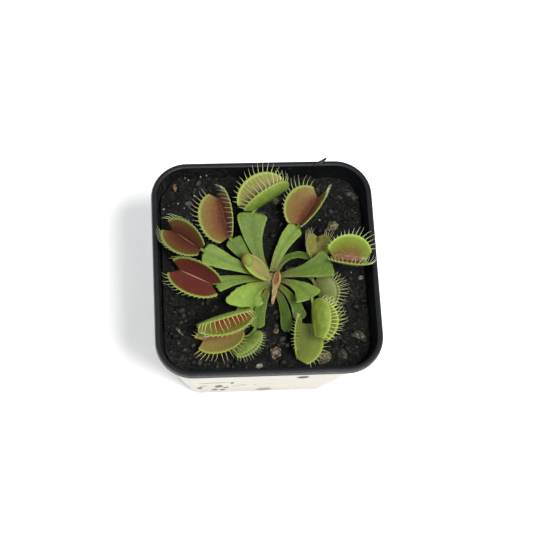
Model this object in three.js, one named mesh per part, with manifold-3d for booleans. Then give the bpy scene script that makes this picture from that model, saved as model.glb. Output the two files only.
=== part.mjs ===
// A Venus flytrap growing in a small square nursery pot.
//
// The pot is one thin plastic shell, wider at the top, with a rolled lip, a short foot ring and drain holes.
// A block of potting mix fills it to a little below the lip. A short crown stands in a hole in the mix, and
// the leaves grow round it in two tiers. Each leaf is a flat wedge-shaped stalk that carries a trap: two
// lobes on one hinge, edged with long teeth. A folded young leaf and a dried leaf lie on top of the crown.
// Bark chips and pebbles lie half sunk in the mix, and a sliver of bark lies on the back lip.
//
// Millimetres, +Z up. The origin is the centre of the pot's base, +X runs to the right along its front wall.

import * as THREE from 'three';
import { mergeVertices } from 'three/addons/utils/BufferGeometryUtils.js';
import Module from 'manifold-3d';

const wasm = await Module();
wasm.setup();

// ---------------------------------------------------------------- driving dimensions

const POT_TOP = 85; // side of the square, outside the lip
const POT_HEIGHT = 75;
const POT_BASE = 58;
const LIP_CORNER = 14; // corner radius at the lip
const BASE_CORNER = 5;
const WALL = 1;
const LIP_OUT = 1.4; // how far the lip stands out of the wall
const LIP_DEPTH = 3.4;
const FLOOR_TOP = 3.2;
const FLOOR_UNDER = 1.8;
const DRAIN_RADIUS = 2.6;
const DRAIN_OFFSET = 17;
const NOTCH_RADIUS = 1.7; // drain notch in the middle of each side's foot

const SOIL_TOP = 66;
const SOIL_ROUGHNESS = 0.9;
const GAP = 0.3; // clearance between two pieces that touch

const CROWN_X = 2.3;
const CROWN_Y = -3.4;
const CROWN_RADIUS = 3.3;
const CROWN_DEPTH = 12;
const CROWN_RISE = 4.8;

const STALK_THICKNESS = 0.8;
const STALK_START = [1.2, 3.4]; // height above the mix of the lower and the upper tier
const LOBE_THICKNESS = 0.66;
const HINGE_THICKNESS = 1.2;
const NECK_RADIUS = 0.62;
const TEETH_PER_LOBE = 15;
const TOOTH_LENGTH = 4.6;

const COLOURS = {
  pot: 0x1b1c20,
  soil: 0x1d1a17,
  crown: 0x9aa35a,
  stalk: 0x7fae3c,
  oldStalk: 0x5f7f38,
  red: 0x7a3426,
  orange: 0x94603a,
  green: 0x8db23f,
  olive: 0x8a8f4a,
  tan: 0xb49a4e,
  dried: 0x9a5a38,
  bark: 0x6d5540,
  pebble: 0xa9a08a,
};

// Every leaf, anticlockwise from the one that points right. tier: 0 grows lower on the crown, 1 higher.
// stalk: from and to are headings in degrees (0 is +X, 90 is +Y) of its root and its end as seen from the
// crown, reach and rise are the end's distance from the crown's axis and height above the mix, bow pushes its
// middle to the left, root and width are its widths at both ends, spread says how late it widens, shoulder is
// the part of its length that rounds off, skew makes its left half wider than its right.
// trap: heading and pitch of the hinge, lean of the mouth to the right (negative: left), gape and curl of the
// right and the left lobe (angle from the mouth's direction at the hinge, and what is added on to the margin),
// length of the hinge, depth of a lobe, shift and span of the margin along the hinge, bow of the hinge, and how
// far the teeth of the right and the left lobe bend in over the mouth. tooth scales them where given. Where the
// lobes differ, depth, shift and span are pairs too.
const LEAVES = [
  {
    name: 'east', tier: 1, colour: 'stalk',
    stalk: { from: 22, to: 12, reach: 22.2, rise: 10, bow: -1, root: 1.9, width: 12, spread: 1.45,
      shoulder: 0.13, skew: -0.22 },
    trap: { heading: -4, pitch: -8, lean: -9, gape: [35, 37], curl: [2, 5], length: 12.5, depth: 10.4,
      shift: -0.8, span: 1.5, bow: 7, teeth: [0.6, 0.3], colour: 'green' },
  },
  {
    name: 'east_low', tier: 0, colour: 'oldStalk',
    stalk: { from: 60, to: 24.4, reach: 18.4, rise: 2.6, bow: 4, root: 2.2, width: 2.8, spread: 1, shoulder: 0.3,
      skew: 0 },
    trap: { heading: 84, pitch: 8, lean: 2, gape: [38, 42], curl: [-6, -6], length: 8.5, depth: 7.6,
      shift: 0.4, span: 1.2, bow: 12, teeth: [0.1, 0.1], tooth: [0.8, 0.8], colour: 'olive' },
  },
  {
    name: 'north_east', tier: 1, colour: 'stalk',
    stalk: { from: 78, to: 61, reach: 22.4, rise: 5.8, bow: 1, root: 2.3, width: 7, spread: 1, shoulder: 0.15,
      skew: 0.06 },
    trap: { heading: 54.6, pitch: -4, lean: -23, gape: [42, 43], curl: [2, 5], length: 13.3, depth: 10.5,
      shift: -0.3, span: 1.5, bow: 4, teeth: [0.15, 0.9], tooth: [1, 0.75], colour: 'orange' },
  },
  {
    name: 'north', tier: 1, colour: 'stalk',
    stalk: { from: 118, to: 105.1, reach: 25.2, rise: 10, bow: 2, root: 2.1, width: 12.9, spread: 1.4,
      shoulder: 0.14, skew: 0 },
    trap: { heading: 32.7, pitch: 1, lean: -35, gape: [30, 33], curl: [0, 0], length: 16, depth: 11.2,
      shift: -2.4, span: 1.4, bow: 6, teeth: [0.55, 0.55], colour: 'green' },
  },
  {
    name: 'north_west', tier: 0, colour: 'stalk',
    stalk: { from: 136, to: 135, reach: 21.1, rise: 6, bow: 0.8, root: 2.3, width: 7.5, spread: 1.4,
      shoulder: 0.1, skew: -0.2 },
    trap: { heading: 99, pitch: -6, lean: -37, gape: [43, 44], curl: [11, 8], length: 16.5, depth: 10.1,
      shift: 0.1, span: 1.4, bow: 5, teeth: [1.3, 0.6], colour: 'orange' },
  },
  {
    name: 'west', tier: 1, colour: 'stalk',
    stalk: { from: 153, to: 160.6, reach: 27, rise: 11, bow: 0.5, root: 2.3, width: 10.4, spread: 1.45,
      shoulder: 0.14, skew: 0.16 },
    trap: { heading: 140, pitch: -7, lean: -17, gape: [29, 35], curl: [13, 13], length: 12.6, depth: 9.6,
      shift: 0.8, span: 1.5, bow: 8, teeth: [0.6, 0.7], colour: 'red' },
  },
  {
    name: 'west_low', tier: 0, colour: 'oldStalk',
    stalk: { from: 172, to: -174.4, reach: 21.6, rise: 5, bow: -0.8, root: 1.9, width: 6.9, spread: 1.5,
      shoulder: 0.08, skew: 0.17 },
    trap: { heading: 150.6, pitch: -8, lean: -24, gape: [48, 49], curl: [-4, -6], length: 13.3, depth: 9,
      shift: -0.6, span: 1.75, bow: 8, teeth: [0.8, 0.45], tooth: [0.8, 1], colour: 'red' },
  },
  {
    name: 'south_west', tier: 1, colour: 'stalk',
    stalk: { from: -128, to: -121, reach: 15.6, rise: 10, bow: -1.7, root: 2.4, width: 16.4, spread: 1.3,
      shoulder: 0.22, skew: -0.48 },
    trap: { heading: -165, pitch: 0, lean: -43, gape: [26, 16], curl: [-6, -1], length: 21.5, depth: 9.8,
      shift: 0, span: 1.08, bow: 20, teeth: [0.6, 0.6], colour: 'red' },
  },
  {
    name: 'south_west_low', tier: 0, colour: 'oldStalk',
    stalk: { from: -144, to: -120.5, reach: 21, rise: 4, bow: -1.6, root: 2.2, width: 7.6, spread: 1,
      shoulder: 0.17, skew: -0.4 },
    trap: { heading: -164, pitch: -3, lean: 0, gape: [50, 64], curl: [0, 2], length: 15.9,
      depth: [5, 8.3], shift: 2, span: 1.2, bow: 8, teeth: [0.3, 0.1], tooth: [0.6, 1.15], colour: 'tan' },
  },
  {
    name: 'south_low', tier: 0, colour: 'oldStalk',
    stalk: { from: -110, to: -109.8, reach: 20.2, rise: 2.6, bow: -0.7, root: 2.2, width: 6, spread: 1,
      shoulder: 0.14, skew: 0.1 },
    trap: { heading: -138, pitch: -1, lean: -70, gape: [13, 11], curl: [0, 0], length: 12, depth: 6.2,
      shift: -0.8, span: 1.25, bow: 15, teeth: [0.2, 0.2], tooth: [0.6, 0.6], colour: 'green' },
  },
  {
    name: 'south', tier: 0, colour: 'oldStalk',
    stalk: { from: -66, to: -78.3, reach: 21.6, rise: 3, bow: 1.1, root: 2.2, width: 5.1, spread: 1,
      shoulder: 0.3, skew: 0.1 },
  },
  {
    name: 'south_east', tier: 1, colour: 'oldStalk',
    stalk: { from: -50, to: -58.8, reach: 19.2, rise: 3.6, bow: 1.5, root: 1.9, width: 5.7, spread: 1.4,
      shoulder: 0.14, skew: 0 },
    trap: { heading: -98, pitch: 4, lean: -20, gape: [42, 46], curl: [-7, 0], length: 14.6,
      depth: [6.6, 9.6], shift: [-2.4, 1.5], span: [1.05, 1.2], bow: 8, teeth: [0.3, 0.3], tooth: [0.7, 0.9],
      colour: 'green' },
  },
  {
    name: 'east_south_east', tier: 1, colour: 'stalk',
    stalk: { from: -14, to: -37, reach: 17.6, rise: 10.6, bow: 1.3, root: 1.8, width: 11.8, spread: 1.7,
      shoulder: 0.13, skew: -0.15 },
    trap: { heading: -90, pitch: 5, lean: -50, gape: [16, 19], curl: [-5, -2], length: 14, depth: 9.4,
      shift: 1.4, span: 1.35, bow: 18, teeth: [0.45, 0.45], colour: 'green' },
  },
  {
    name: 'east_south_east_low', tier: 0, colour: 'oldStalk',
    stalk: { from: 10, to: -2, reach: 15.6, rise: 3, bow: 3.4, root: 1.8, width: 2.2, spread: 1, shoulder: 0.13,
      skew: 0 },
    trap: { heading: -72.6, pitch: 1, lean: -55, gape: [10, 9], curl: [0, 0], length: 11.7, depth: 8.5,
      shift: -0.8, span: 1.3, bow: 16, teeth: [0.3, 0.3], colour: 'olive' },
  },
];

// Stones and bark chips in the mix: place, size along, across and up, and heading of the long side.
const STONES = [
  { name: 'bark_chip_1', x: -33.2, y: 35.4, size: [3.6, 1.4, 1.2], turn: 90, colour: 'bark' },
  { name: 'stone_1', x: -27.9, y: 29.3, size: [2.8, 2.2, 1.8], turn: 20, colour: 'pebble' },
  { name: 'stone_2', x: 35.4, y: 31.6, size: [3, 2.2, 1.8], turn: -30, colour: 'pebble' },
  { name: 'stone_3', x: 27.5, y: 18.6, size: [5, 4, 3], turn: 35, colour: 'bark' },
  { name: 'stone_4', x: 37, y: -3, size: [2.6, 1.9, 1.6], turn: 0, colour: 'pebble' },
  { name: 'bark_chip_2', x: 34.8, y: -26.3, size: [5.6, 3.6, 2.4], turn: -35, colour: 'bark' },
  { name: 'stone_5', x: 20.7, y: -34, size: [6.6, 5.6, 4], turn: 15, colour: 'pebble' },
  { name: 'stone_6', x: 27.6, y: -33.4, size: [5.6, 4.6, 3.4], turn: -20, colour: 'bark' },
  { name: 'stone_7', x: 2.5, y: -31.7, size: [5.2, 4.4, 3.4], turn: 60, colour: 'bark' },
  { name: 'stone_8', x: 3.2, y: -23.3, size: [2.6, 2, 1.8], turn: 40, colour: 'pebble' },
  { name: 'stone_9', x: -4, y: -37, size: [3.4, 2.2, 1.8], turn: 10, colour: 'pebble' },
  { name: 'bark_chip_3', x: -33.1, y: -22.6, size: [4.6, 1.2, 1.2], turn: -50, colour: 'bark' },
  { name: 'bark_chip_4', x: 6.4, y: 29.6, size: [4, 2.6, 1.6], turn: 15, colour: 'bark' },
];
const LIP_CHIP = { name: 'lip_chip', x: 23, y: 40.9, size: [7, 1.5, 1.3], turn: 22, tilt: 30, colour: 'bark' };

// ---------------------------------------------------------------- helpers

const deg = THREE.MathUtils.degToRad;
const vec = (x, y, z) => new THREE.Vector3(x, y, z);
const UP = vec(0, 0, 1);
const crownAt = (height) => vec(CROWN_X, CROWN_Y, SOIL_TOP + height);
const heading = (degrees) => vec(Math.cos(deg(degrees)), Math.sin(deg(degrees)), 0);

/** A repeatable random number from 0 to 1. */
function noise(i) {
  const s = Math.sin(i * 127.1 + 311.7) * 43758.5453;
  return s - Math.floor(s);
}

/** Points (Vector3) and triangles (three indices each) as a solid. */
function solidOf(points, index) {
  const geometry = new THREE.BufferGeometry();
  geometry.setAttribute('position', new THREE.Float32BufferAttribute(points.flatMap((p) => p.toArray()), 3));
  geometry.setIndex(index);
  return solid(geometry);
}

/** A closed mesh geometry as a solid. */
function solid(geometry) {
  const bare = geometry.clone();
  bare.deleteAttribute('normal');
  bare.deleteAttribute('uv');
  const merged = mergeVertices(bare, 1e-4);
  return new wasm.Manifold(
    new wasm.Mesh({
      numProp: 3,
      vertProperties: merged.attributes.position.array,
      triVerts: new Uint32Array(merged.index.array),
    }),
  );
}

function geometryOf(made) {
  const mesh = made.getMesh();
  const geometry = new THREE.BufferGeometry();
  geometry.setAttribute('position', new THREE.BufferAttribute(new Float32Array(mesh.vertProperties), 3));
  geometry.setIndex(new THREE.BufferAttribute(new Uint32Array(mesh.triVerts), 1));
  geometry.computeVertexNormals();
  return geometry;
}

const join = (parts) => wasm.Manifold.union(parts);

const plant = new THREE.Group();

function add(name, made, colour, roughness = 0.7) {
  const material = new THREE.MeshStandardMaterial({ color: COLOURS[colour], roughness, metalness: 0 });
  const mesh = new THREE.Mesh(geometryOf(made), material);
  mesh.name = name;
  plant.add(mesh);
}

/** A closed solid through rings of points, capped at its first and last ring. */
function loft(rings) {
  const n = rings[0].length;
  const points = rings.flat();
  const index = [];
  for (let r = 0; r + 1 < rings.length; r++) {
    for (let i = 0; i < n; i++) {
      const a = r * n + i;
      const b = r * n + ((i + 1) % n);
      index.push(a, b, b + n, a, b + n, a + n);
    }
  }
  for (const [r, flip] of [[0, true], [rings.length - 1, false]]) {
    const middle = rings[r].reduce((sum, p) => sum.add(p), vec(0, 0, 0)).divideScalar(n);
    const centre = points.push(middle) - 1;
    for (let i = 0; i < n; i++) {
      const a = r * n + i;
      const b = r * n + ((i + 1) % n);
      index.push(...(flip ? [centre, b, a] : [centre, a, b]));
    }
  }
  return solidOf(points, index);
}

// A surface is a function at(u, v) that gives a point, u from 0 to 1 and v from -1 to 1.

/** The direction square to a surface. */
function normalOf(at, u, v) {
  const step = 1e-3;
  const along = at(Math.min(u + step, 1), v).sub(at(Math.max(u - step, 0), v));
  const across = at(u, Math.min(v + step, 1)).sub(at(u, Math.max(v - step, -1)));
  return along.cross(across).normalize();
}

/**
 * A closed blade of even thickness round a surface, with both faces split into triangles alike.
 * rows is a list of [v, [u, ...]]. under gives extra thickness below the surface at v. spike says what stands
 * on a margin's piece between two of its u values: [point half way, tip], or nothing.
 */
function blade(at, rows, thickness, under = () => 0, spike = () => null) {
  const points = [];
  const index = [];
  const face = (flip, ...corners) => index.push(...(flip ? corners.reverse() : corners));
  const pair = (u, v) => {
    const normal = normalOf(at, u, v);
    const top = points.push(at(u, v).addScaledVector(normal, thickness / 2)) - 1;
    return [top, points.push(at(u, v).addScaledVector(normal, -thickness / 2 - under(v))) - 1];
  };
  const made = rows.map(([v, us]) => ({ v, us, pairs: us.map((u) => pair(u, v)) }));
  for (let r = 0; r + 1 < made.length; r++) {
    const [a, b] = [made[r], made[r + 1]];
    let [i, j] = [0, 0];
    while (i + 1 < a.us.length || j + 1 < b.us.length) {
      const stepA = j + 1 === b.us.length || (i + 1 < a.us.length && a.us[i + 1] <= b.us[j + 1]);
      for (const side of [0, 1]) {
        const far = stepA ? a.pairs[i + 1][side] : b.pairs[j + 1][side];
        face(side === 1, a.pairs[i][side], far, b.pairs[j][side]);
      }
      if (stepA) i++;
      else j++;
    }
    const ends = [[a.pairs[0], b.pairs[0]], [b.pairs.at(-1), a.pairs.at(-1)]];
    for (const [p, q] of ends) index.push(p[0], q[0], q[1], p[0], q[1], p[1]);
  }
  for (const [row, flip] of [[made[0], true], [made.at(-1), false]]) {
    for (let j = 0; j + 1 < row.us.length; j++) {
      const [p, q] = flip ? [row.pairs[j + 1], row.pairs[j]] : [row.pairs[j], row.pairs[j + 1]];
      const loop = [p[0], q[0], q[1], p[1]];
      const grown = spike(row.us[j], row.us[j + 1], row.v);
      if (!grown) {
        index.push(loop[0], loop[1], loop[2], loop[0], loop[2], loop[3]);
        continue;
      }
      const centre = loop.reduce((sum, k) => sum.add(points[k]), vec(0, 0, 0)).divideScalar(4);
      const middle = loop.map((k) => points.push(
        points[k].clone().sub(centre).multiplyScalar(0.6).add(grown[0])) - 1);
      const tip = points.push(grown[1]) - 1;
      for (let k = 0; k < 4; k++) {
        const next = (k + 1) % 4;
        index.push(loop[k], loop[next], middle[next], loop[k], middle[next], middle[k]);
        index.push(middle[k], middle[next], tip);
      }
    }
  }
  return solidOf(points, index);
}

/** n + 1 even steps from 0 to 1. */
const steps = (n) => Array.from({ length: n + 1 }, (_, i) => i / n);
/** Even rows of even steps. */
const grid = (across, along) => steps(across).map((t) => [2 * t - 1, steps(along)]);

/** A round rod with five sides along a list of points. */
function rod(points, radius, count) {
  const section = new THREE.Shape(
    Array.from({ length: 5 }, (_, i) => new THREE.Vector2(radius, 0).rotateAround(new THREE.Vector2(),
      (2 * Math.PI * i) / 5)),
  );
  const path = new THREE.CatmullRomCurve3(points);
  return solid(new THREE.ExtrudeGeometry(section, { steps: count, extrudePath: path, bevelEnabled: false }));
}

// ---------------------------------------------------------------- pot

/** A ring of points round a square with round corners, anticlockwise. */
function ring(side, corner, z) {
  const flat = side / 2 - corner;
  const points = [];
  for (let q = 0; q < 4; q++) {
    const cx = q === 0 || q === 3 ? flat : -flat;
    const cy = q < 2 ? flat : -flat;
    for (const t of steps(5)) {
      const a = (Math.PI / 2) * (q + t);
      points.push(vec(cx + corner * Math.cos(a), cy + corner * Math.sin(a), z));
    }
  }
  return points;
}

const wallTop = POT_HEIGHT - LIP_DEPTH;
const wallTopSide = POT_TOP - 2 * LIP_OUT;
const wallSide = (z) => POT_BASE + ((wallTopSide - POT_BASE) * z) / wallTop;
const wallCorner = (z) => BASE_CORNER + ((LIP_CORNER - 1.2 - BASE_CORNER) * z) / wallTop;
/** A ring on the inside of the wall at height z, or further in. */
const insideRing = (z, inset = 0) => ring(wallSide(z) - 2 * (WALL + inset), wallCorner(z) - WALL - inset, z);

function makePot() {
  const foot = POT_BASE - 5;
  const shell = loft([
    ring(foot, BASE_CORNER - 2.5, FLOOR_UNDER),
    ring(foot, BASE_CORNER - 2.5, 0),
    ring(POT_BASE, BASE_CORNER, 0),
    ring(wallTopSide, LIP_CORNER - 1.2, wallTop),
    ring(POT_TOP - 0.6, LIP_CORNER - 0.3, wallTop),
    ring(POT_TOP, LIP_CORNER, wallTop + 0.6),
    ring(POT_TOP, LIP_CORNER, POT_HEIGHT - 0.9),
    ring(POT_TOP - 0.9, LIP_CORNER - 0.4, POT_HEIGHT),
    ring(POT_TOP - 3.2, LIP_CORNER - 1.6, POT_HEIGHT),
    insideRing(POT_HEIGHT - 1.4),
    insideRing(FLOOR_TOP),
  ]);
  const cuts = [];
  for (const [x, y] of [[1, 1], [-1, 1], [-1, -1], [1, -1], [0, 0]]) {
    const drain = new THREE.CylinderGeometry(DRAIN_RADIUS, DRAIN_RADIUS, 4, 10).rotateX(Math.PI / 2);
    cuts.push(solid(drain.translate(x * DRAIN_OFFSET, y * DRAIN_OFFSET, (FLOOR_TOP + FLOOR_UNDER) / 2)));
  }
  for (const quarter of [0, 1]) {
    const notch = new THREE.CylinderGeometry(NOTCH_RADIUS, NOTCH_RADIUS, POT_BASE + 8, 8);
    cuts.push(solid(notch.rotateZ((quarter * Math.PI) / 2)));
  }
  return shell.subtract(join(cuts));
}

// ---------------------------------------------------------------- potting mix, stones and bark

/** A rounded irregular lump, a little larger all round by grow. */
function lump(stone, z, grow = 0) {
  const ball = new THREE.IcosahedronGeometry(1, 1);
  const position = ball.attributes.position;
  const seed = stone.x * 3.1 + stone.y * 7.7;
  for (let i = 0; i < position.count; i++) {
    const p = vec().fromBufferAttribute(position, i);
    const rough = 0.9 + 0.09 * Math.sin(4 * p.x + seed) * Math.cos(3 * p.y - seed) + 0.07 * Math.sin(5 * p.z + seed);
    const half = vec(...stone.size).multiplyScalar(0.5 * rough);
    position.setXYZ(i, p.x * (half.x + grow), p.y * (half.y + grow), p.z * (half.z + grow));
  }
  ball.rotateY(-deg(stone.tilt ?? 0)).rotateZ(deg(stone.turn)).translate(stone.x, stone.y, z);
  return solid(ball);
}

const stoneHeight = (stone) => SOIL_TOP + 0.12 * stone.size[2];

function makeSoil() {
  const rough = (points, k) => points.map((p, i) => p.setZ(p.z + SOIL_ROUGHNESS * (noise(31 * k + i) - 0.5)));
  const scaled = (s, k) => rough(insideRing(SOIL_TOP, GAP).map((p) => vec(p.x * s, p.y * s, p.z)), k);
  const block = loft([
    insideRing(FLOOR_TOP + GAP, GAP),
    insideRing(SOIL_TOP - 1.2, GAP),
    scaled(0.965, 1), scaled(0.86, 2), scaled(0.72, 3), scaled(0.56, 4), scaled(0.4, 5), scaled(0.24, 6),
  ]);
  const hole = new THREE.CylinderGeometry(CROWN_RADIUS + GAP, CROWN_RADIUS + GAP, 2 * CROWN_DEPTH + 2 * GAP, 16);
  hole.rotateX(Math.PI / 2).translate(CROWN_X, CROWN_Y, SOIL_TOP);
  return block.subtract(join([solid(hole), ...STONES.map((s) => lump(s, stoneHeight(s), GAP))]));
}

function makeCrown() {
  const profile = [
    [0, -CROWN_DEPTH], [CROWN_RADIUS - 0.6, -CROWN_DEPTH], [CROWN_RADIUS, 1 - CROWN_DEPTH],
    [CROWN_RADIUS, CROWN_RISE - 1.3], [CROWN_RADIUS * 0.6, CROWN_RISE - 0.3], [0, CROWN_RISE],
  ].map(([r, z]) => new THREE.Vector2(r, z));
  const turned = new THREE.LatheGeometry(profile, 14).rotateX(Math.PI / 2);
  return solid(turned.translate(CROWN_X, CROWN_Y, SOIL_TOP));
}

// ---------------------------------------------------------------- leaf stalks

/** The middle surface of a stalk: u runs from the crown outwards, v from its right edge to its left edge. */
function stalkSurface(leaf) {
  const s = leaf.stalk;
  const start = crownAt(STALK_START[leaf.tier]).addScaledVector(heading(s.from), CROWN_RADIUS + GAP);
  const end = crownAt(s.rise).addScaledVector(heading(s.to), s.reach);
  const run = end.clone().sub(start).setZ(0).normalize();
  const left = UP.clone().cross(run);
  const middle = start.clone().lerp(end, 0.5).addScaledVector(left, 2 * s.bow).addScaledVector(UP, 1.2);
  const spine = new THREE.QuadraticBezierCurve3(start, middle, end);
  const half = (u) => {
    const late = Math.max(0, (u - 1 + s.shoulder) / s.shoulder);
    const grown = s.root + (s.width - s.root) * Math.pow(u, s.spread);
    return (grown / 2) * Math.sqrt(1 - 0.9 * Math.pow(late, 3.4));
  };
  return (u, v) => {
    const ahead = spine.getTangent(u);
    const side = UP.clone().cross(ahead).normalize();
    const face = ahead.clone().cross(side);
    const reach = half(u) * v * (1 + Math.sign(v) * s.skew);
    const wave = 0.3 * u * v * v * Math.sin(9 * u + 2 * Math.sign(v) + s.to);
    return spine.getPoint(u).addScaledVector(side, reach)
      .addScaledVector(face, 0.12 * Math.abs(reach) + wave);
  };
}

function makeStalk(leaf) {
  const along = [0, 0.18, 0.36, 0.54, 0.7, 0.82, 0.9, 0.95, 0.985, 1]; // closer where the shoulders round off
  return blade(stalkSurface(leaf), steps(4).map((t) => [2 * t - 1, along]), STALK_THICKNESS);
}

// ---------------------------------------------------------------- traps

/** A value that both lobes share, or the right or left one's own of a pair. */
const ofLobe = (value, lobe) => (Array.isArray(value) ? value[lobe] : value);

/** The middle surface of a trap: v is 0 on the hinge, -1 on the right lobe's margin and 1 on the left one's. */
function trapSurface(trap, start) {
  const pitch = deg(trap.pitch);
  const ahead = heading(trap.heading).multiplyScalar(Math.cos(pitch)).setZ(Math.sin(pitch));
  const straight = UP.clone().addScaledVector(ahead, -ahead.z).normalize();
  const mouth = straight.applyAxisAngle(ahead, deg(trap.lean));
  const right = ahead.clone().cross(mouth);
  const bow = deg(trap.bow);
  const radius = trap.length / bow;
  return (u, v) => {
    const out = Math.abs(v);
    const lobe = v < 0 ? 0 : 1;
    const depth = ofLobe(trap.depth, lobe);
    const round = Math.PI * (0.1 + 0.8 * (1 - u)); // where on the margin's oval
    const span = (trap.length / 2) * ofLobe(trap.span, lobe);
    const margin = trap.length / 2 + ofLobe(trap.shift, lobe) + span * Math.cos(round);
    const along = trap.length * u * (1 - out) + margin * out;
    const deep = depth * Math.pow(Math.sin(round), 0.8) * out;
    const open = deg(trap.gape[lobe] + (trap.curl[lobe] * deep) / depth / 2);
    const turn = bow * (along / trap.length - 0.5);
    const rise = radius - deep * Math.cos(open);
    return start.clone()
      .addScaledVector(ahead, rise * Math.sin(turn) + radius * Math.sin(bow / 2))
      .addScaledVector(mouth, radius * Math.cos(bow / 2) - rise * Math.cos(turn))
      .addScaledVector(right, (lobe ? -1 : 1) * deep * Math.sin(open));
  };
}

function makeTrap(leaf) {
  const stalk = stalkSurface(leaf);
  const end = stalk(1, 0);
  const ahead = end.clone().sub(stalk(0.97, 0)).normalize();
  const trap = leaf.trap;
  const out = heading(trap.heading).multiplyScalar(Math.cos(deg(trap.pitch))).setZ(Math.sin(deg(trap.pitch)));
  const start = end.clone().addScaledVector(ahead, 1).addScaledVector(out, 0.7);
  const at = trapSurface(trap, start);

  // one tooth on each marked piece of the margin, longest in the middle, bent in over the mouth
  const root = 0.27 / TEETH_PER_LOBE;
  const margin = [0];
  for (let i = 0; i < TEETH_PER_LOBE; i++) {
    const centre = (i + 0.5) / TEETH_PER_LOBE;
    margin.push(centre - root, centre + root);
  }
  margin.push(1);
  const spike = (u0, u1, v) => {
    const index = Math.round(((u0 + u1) / 2) * TEETH_PER_LOBE - 0.5);
    if (Math.abs(u1 - u0 - 2 * root) > 1e-6) return null;
    const u = (u0 + u1) / 2;
    const foot = at(u, v);
    const edge = at(u + 0.01, v).sub(at(u - 0.01, v)).normalize();
    const away = foot.clone().sub(at(u, 0.9 * v));
    away.addScaledVector(edge, -away.dot(edge)).normalize();
    const inward = normalOf(at, u, v);
    const lean = trap.teeth[v < 0 ? 0 : 1] + 0.12 * (noise(7 * index + v + trap.heading) - 0.5);
    const size = (trap.tooth?.[v < 0 ? 0 : 1] ?? 1) * (0.9 + 0.2 * noise(index + trap.heading));
    const length = (TOOTH_LENGTH * size * (0.52 + 0.48 * Math.sin(Math.PI * Math.pow(u, 1.4)))) /
      Math.max(1, Math.hypot(0.92, lean));
    return [
      foot.clone().addScaledVector(away, 0.5 * length).addScaledVector(inward, 0.3 * lean * length),
      foot.clone().addScaledVector(away, 0.92 * length).addScaledVector(inward, lean * length),
    ];
  };
  const inner = steps(6);
  const rows = [[-1, margin], ...[-0.66, -0.3, 0, 0.3, 0.66].map((v) => [v, inner]), [1, margin]];
  const thicker = (v) => (v === 0 ? HINGE_THICKNESS - LOBE_THICKNESS : 0);
  const lobes = blade(at, rows, LOBE_THICKNESS, thicker, spike);

  const neck = rod([
    end.clone().addScaledVector(ahead, STALK_THICKNESS / 2 + GAP / 2),
    end.clone().addScaledVector(ahead, 1),
    start.clone().addScaledVector(out, 0.4),
    at(0.12, 0),
  ], NECK_RADIUS, 4);
  return join([lobes, neck]);
}

// ---------------------------------------------------------------- young leaf and dried leaf

function makeYoungLeaf() {
  const root = crownAt(CROWN_RISE + 0.9).add(vec(-1.6, -1, 0));
  const tip = vec(-7.2, 2.2, SOIL_TOP + 9.6);
  const spine = new THREE.QuadraticBezierCurve3(root, root.clone().lerp(tip, 0.5).add(vec(0, -0.6, 0.9)), tip);
  const side = UP.clone().cross(tip.clone().sub(root)).normalize();
  const at = (u, v) => {
    const half = 0.7 + 2.9 * Math.pow(Math.sin(Math.PI * (0.06 + 0.84 * u)), 0.9);
    return spine.getPoint(1.12 * u).addScaledVector(side, half * v * 0.9).addScaledVector(UP, half * 0.5 * v * v);
  };
  const stalk = blade(at, grid(4, 6), STALK_THICKNESS);
  const bud = new THREE.SphereGeometry(1, 10, 6).rotateX(Math.PI / 2);
  bud.scale(2.7, 1.7, 1.5).rotateY(deg(-8)).rotateZ(deg(106));
  bud.translate(tip.x, tip.y - 0.5, tip.z + 0.9);
  return join([stalk, solid(bud)]);
}

function makeDriedLeaf() {
  const spine = new THREE.CatmullRomCurve3([
    crownAt(CROWN_RISE + 1.2).add(vec(2.4, 2.2, 0)),
    crownAt(CROWN_RISE + 0.9).add(vec(1.9, -0.6, 0)),
    crownAt(CROWN_RISE + 0.1).add(vec(1, -4, 0)),
    crownAt(CROWN_RISE - 1.4).add(vec(0.5, -7, 0)),
    crownAt(CROWN_RISE - 2.4).add(vec(-0.2, -10, 0)),
  ]);
  const half = (u) => {
    const sliver = THREE.MathUtils.smoothstep(u, 0.38, 0.52); // 0 on the sheath, 1 on the sliver that hangs from it
    return (1 - sliver) * (1.25 + 0.3 * Math.sin(6 * u)) + sliver * 0.95 * (1 - 0.75 * u * u * u);
  };
  const at = (u, v) => {
    const side = spine.getTangent(u).cross(UP).normalize();
    return spine.getPoint(u).addScaledVector(side, half(u) * v).addScaledVector(UP, 0.45 * half(u) * v * v);
  };
  return blade(at, grid(4, 10), 0.7);
}

// ---------------------------------------------------------------- assembly

add('pot', makePot(), 'pot', 0.45);
add('soil', makeSoil(), 'soil', 1);
for (const stone of STONES) add(stone.name, lump(stone, stoneHeight(stone)), stone.colour, 0.9);
add(LIP_CHIP.name, lump(LIP_CHIP, POT_HEIGHT + GAP + 1.85), LIP_CHIP.colour, 0.9);
add('crown', makeCrown(), 'crown');
for (const leaf of LEAVES) {
  add(`stalk_${leaf.name}`, makeStalk(leaf), leaf.colour, 0.5);
  if (leaf.trap) add(`trap_${leaf.name}`, makeTrap(leaf), leaf.trap.colour, 0.45);
}
add('young_leaf', makeYoungLeaf(), 'olive', 0.5);
add('dried_leaf', makeDriedLeaf(), 'dried', 0.8);

export default plant;
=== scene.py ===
import math

import bmesh
import bpy
from mathutils import Matrix, Vector, noise


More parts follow.
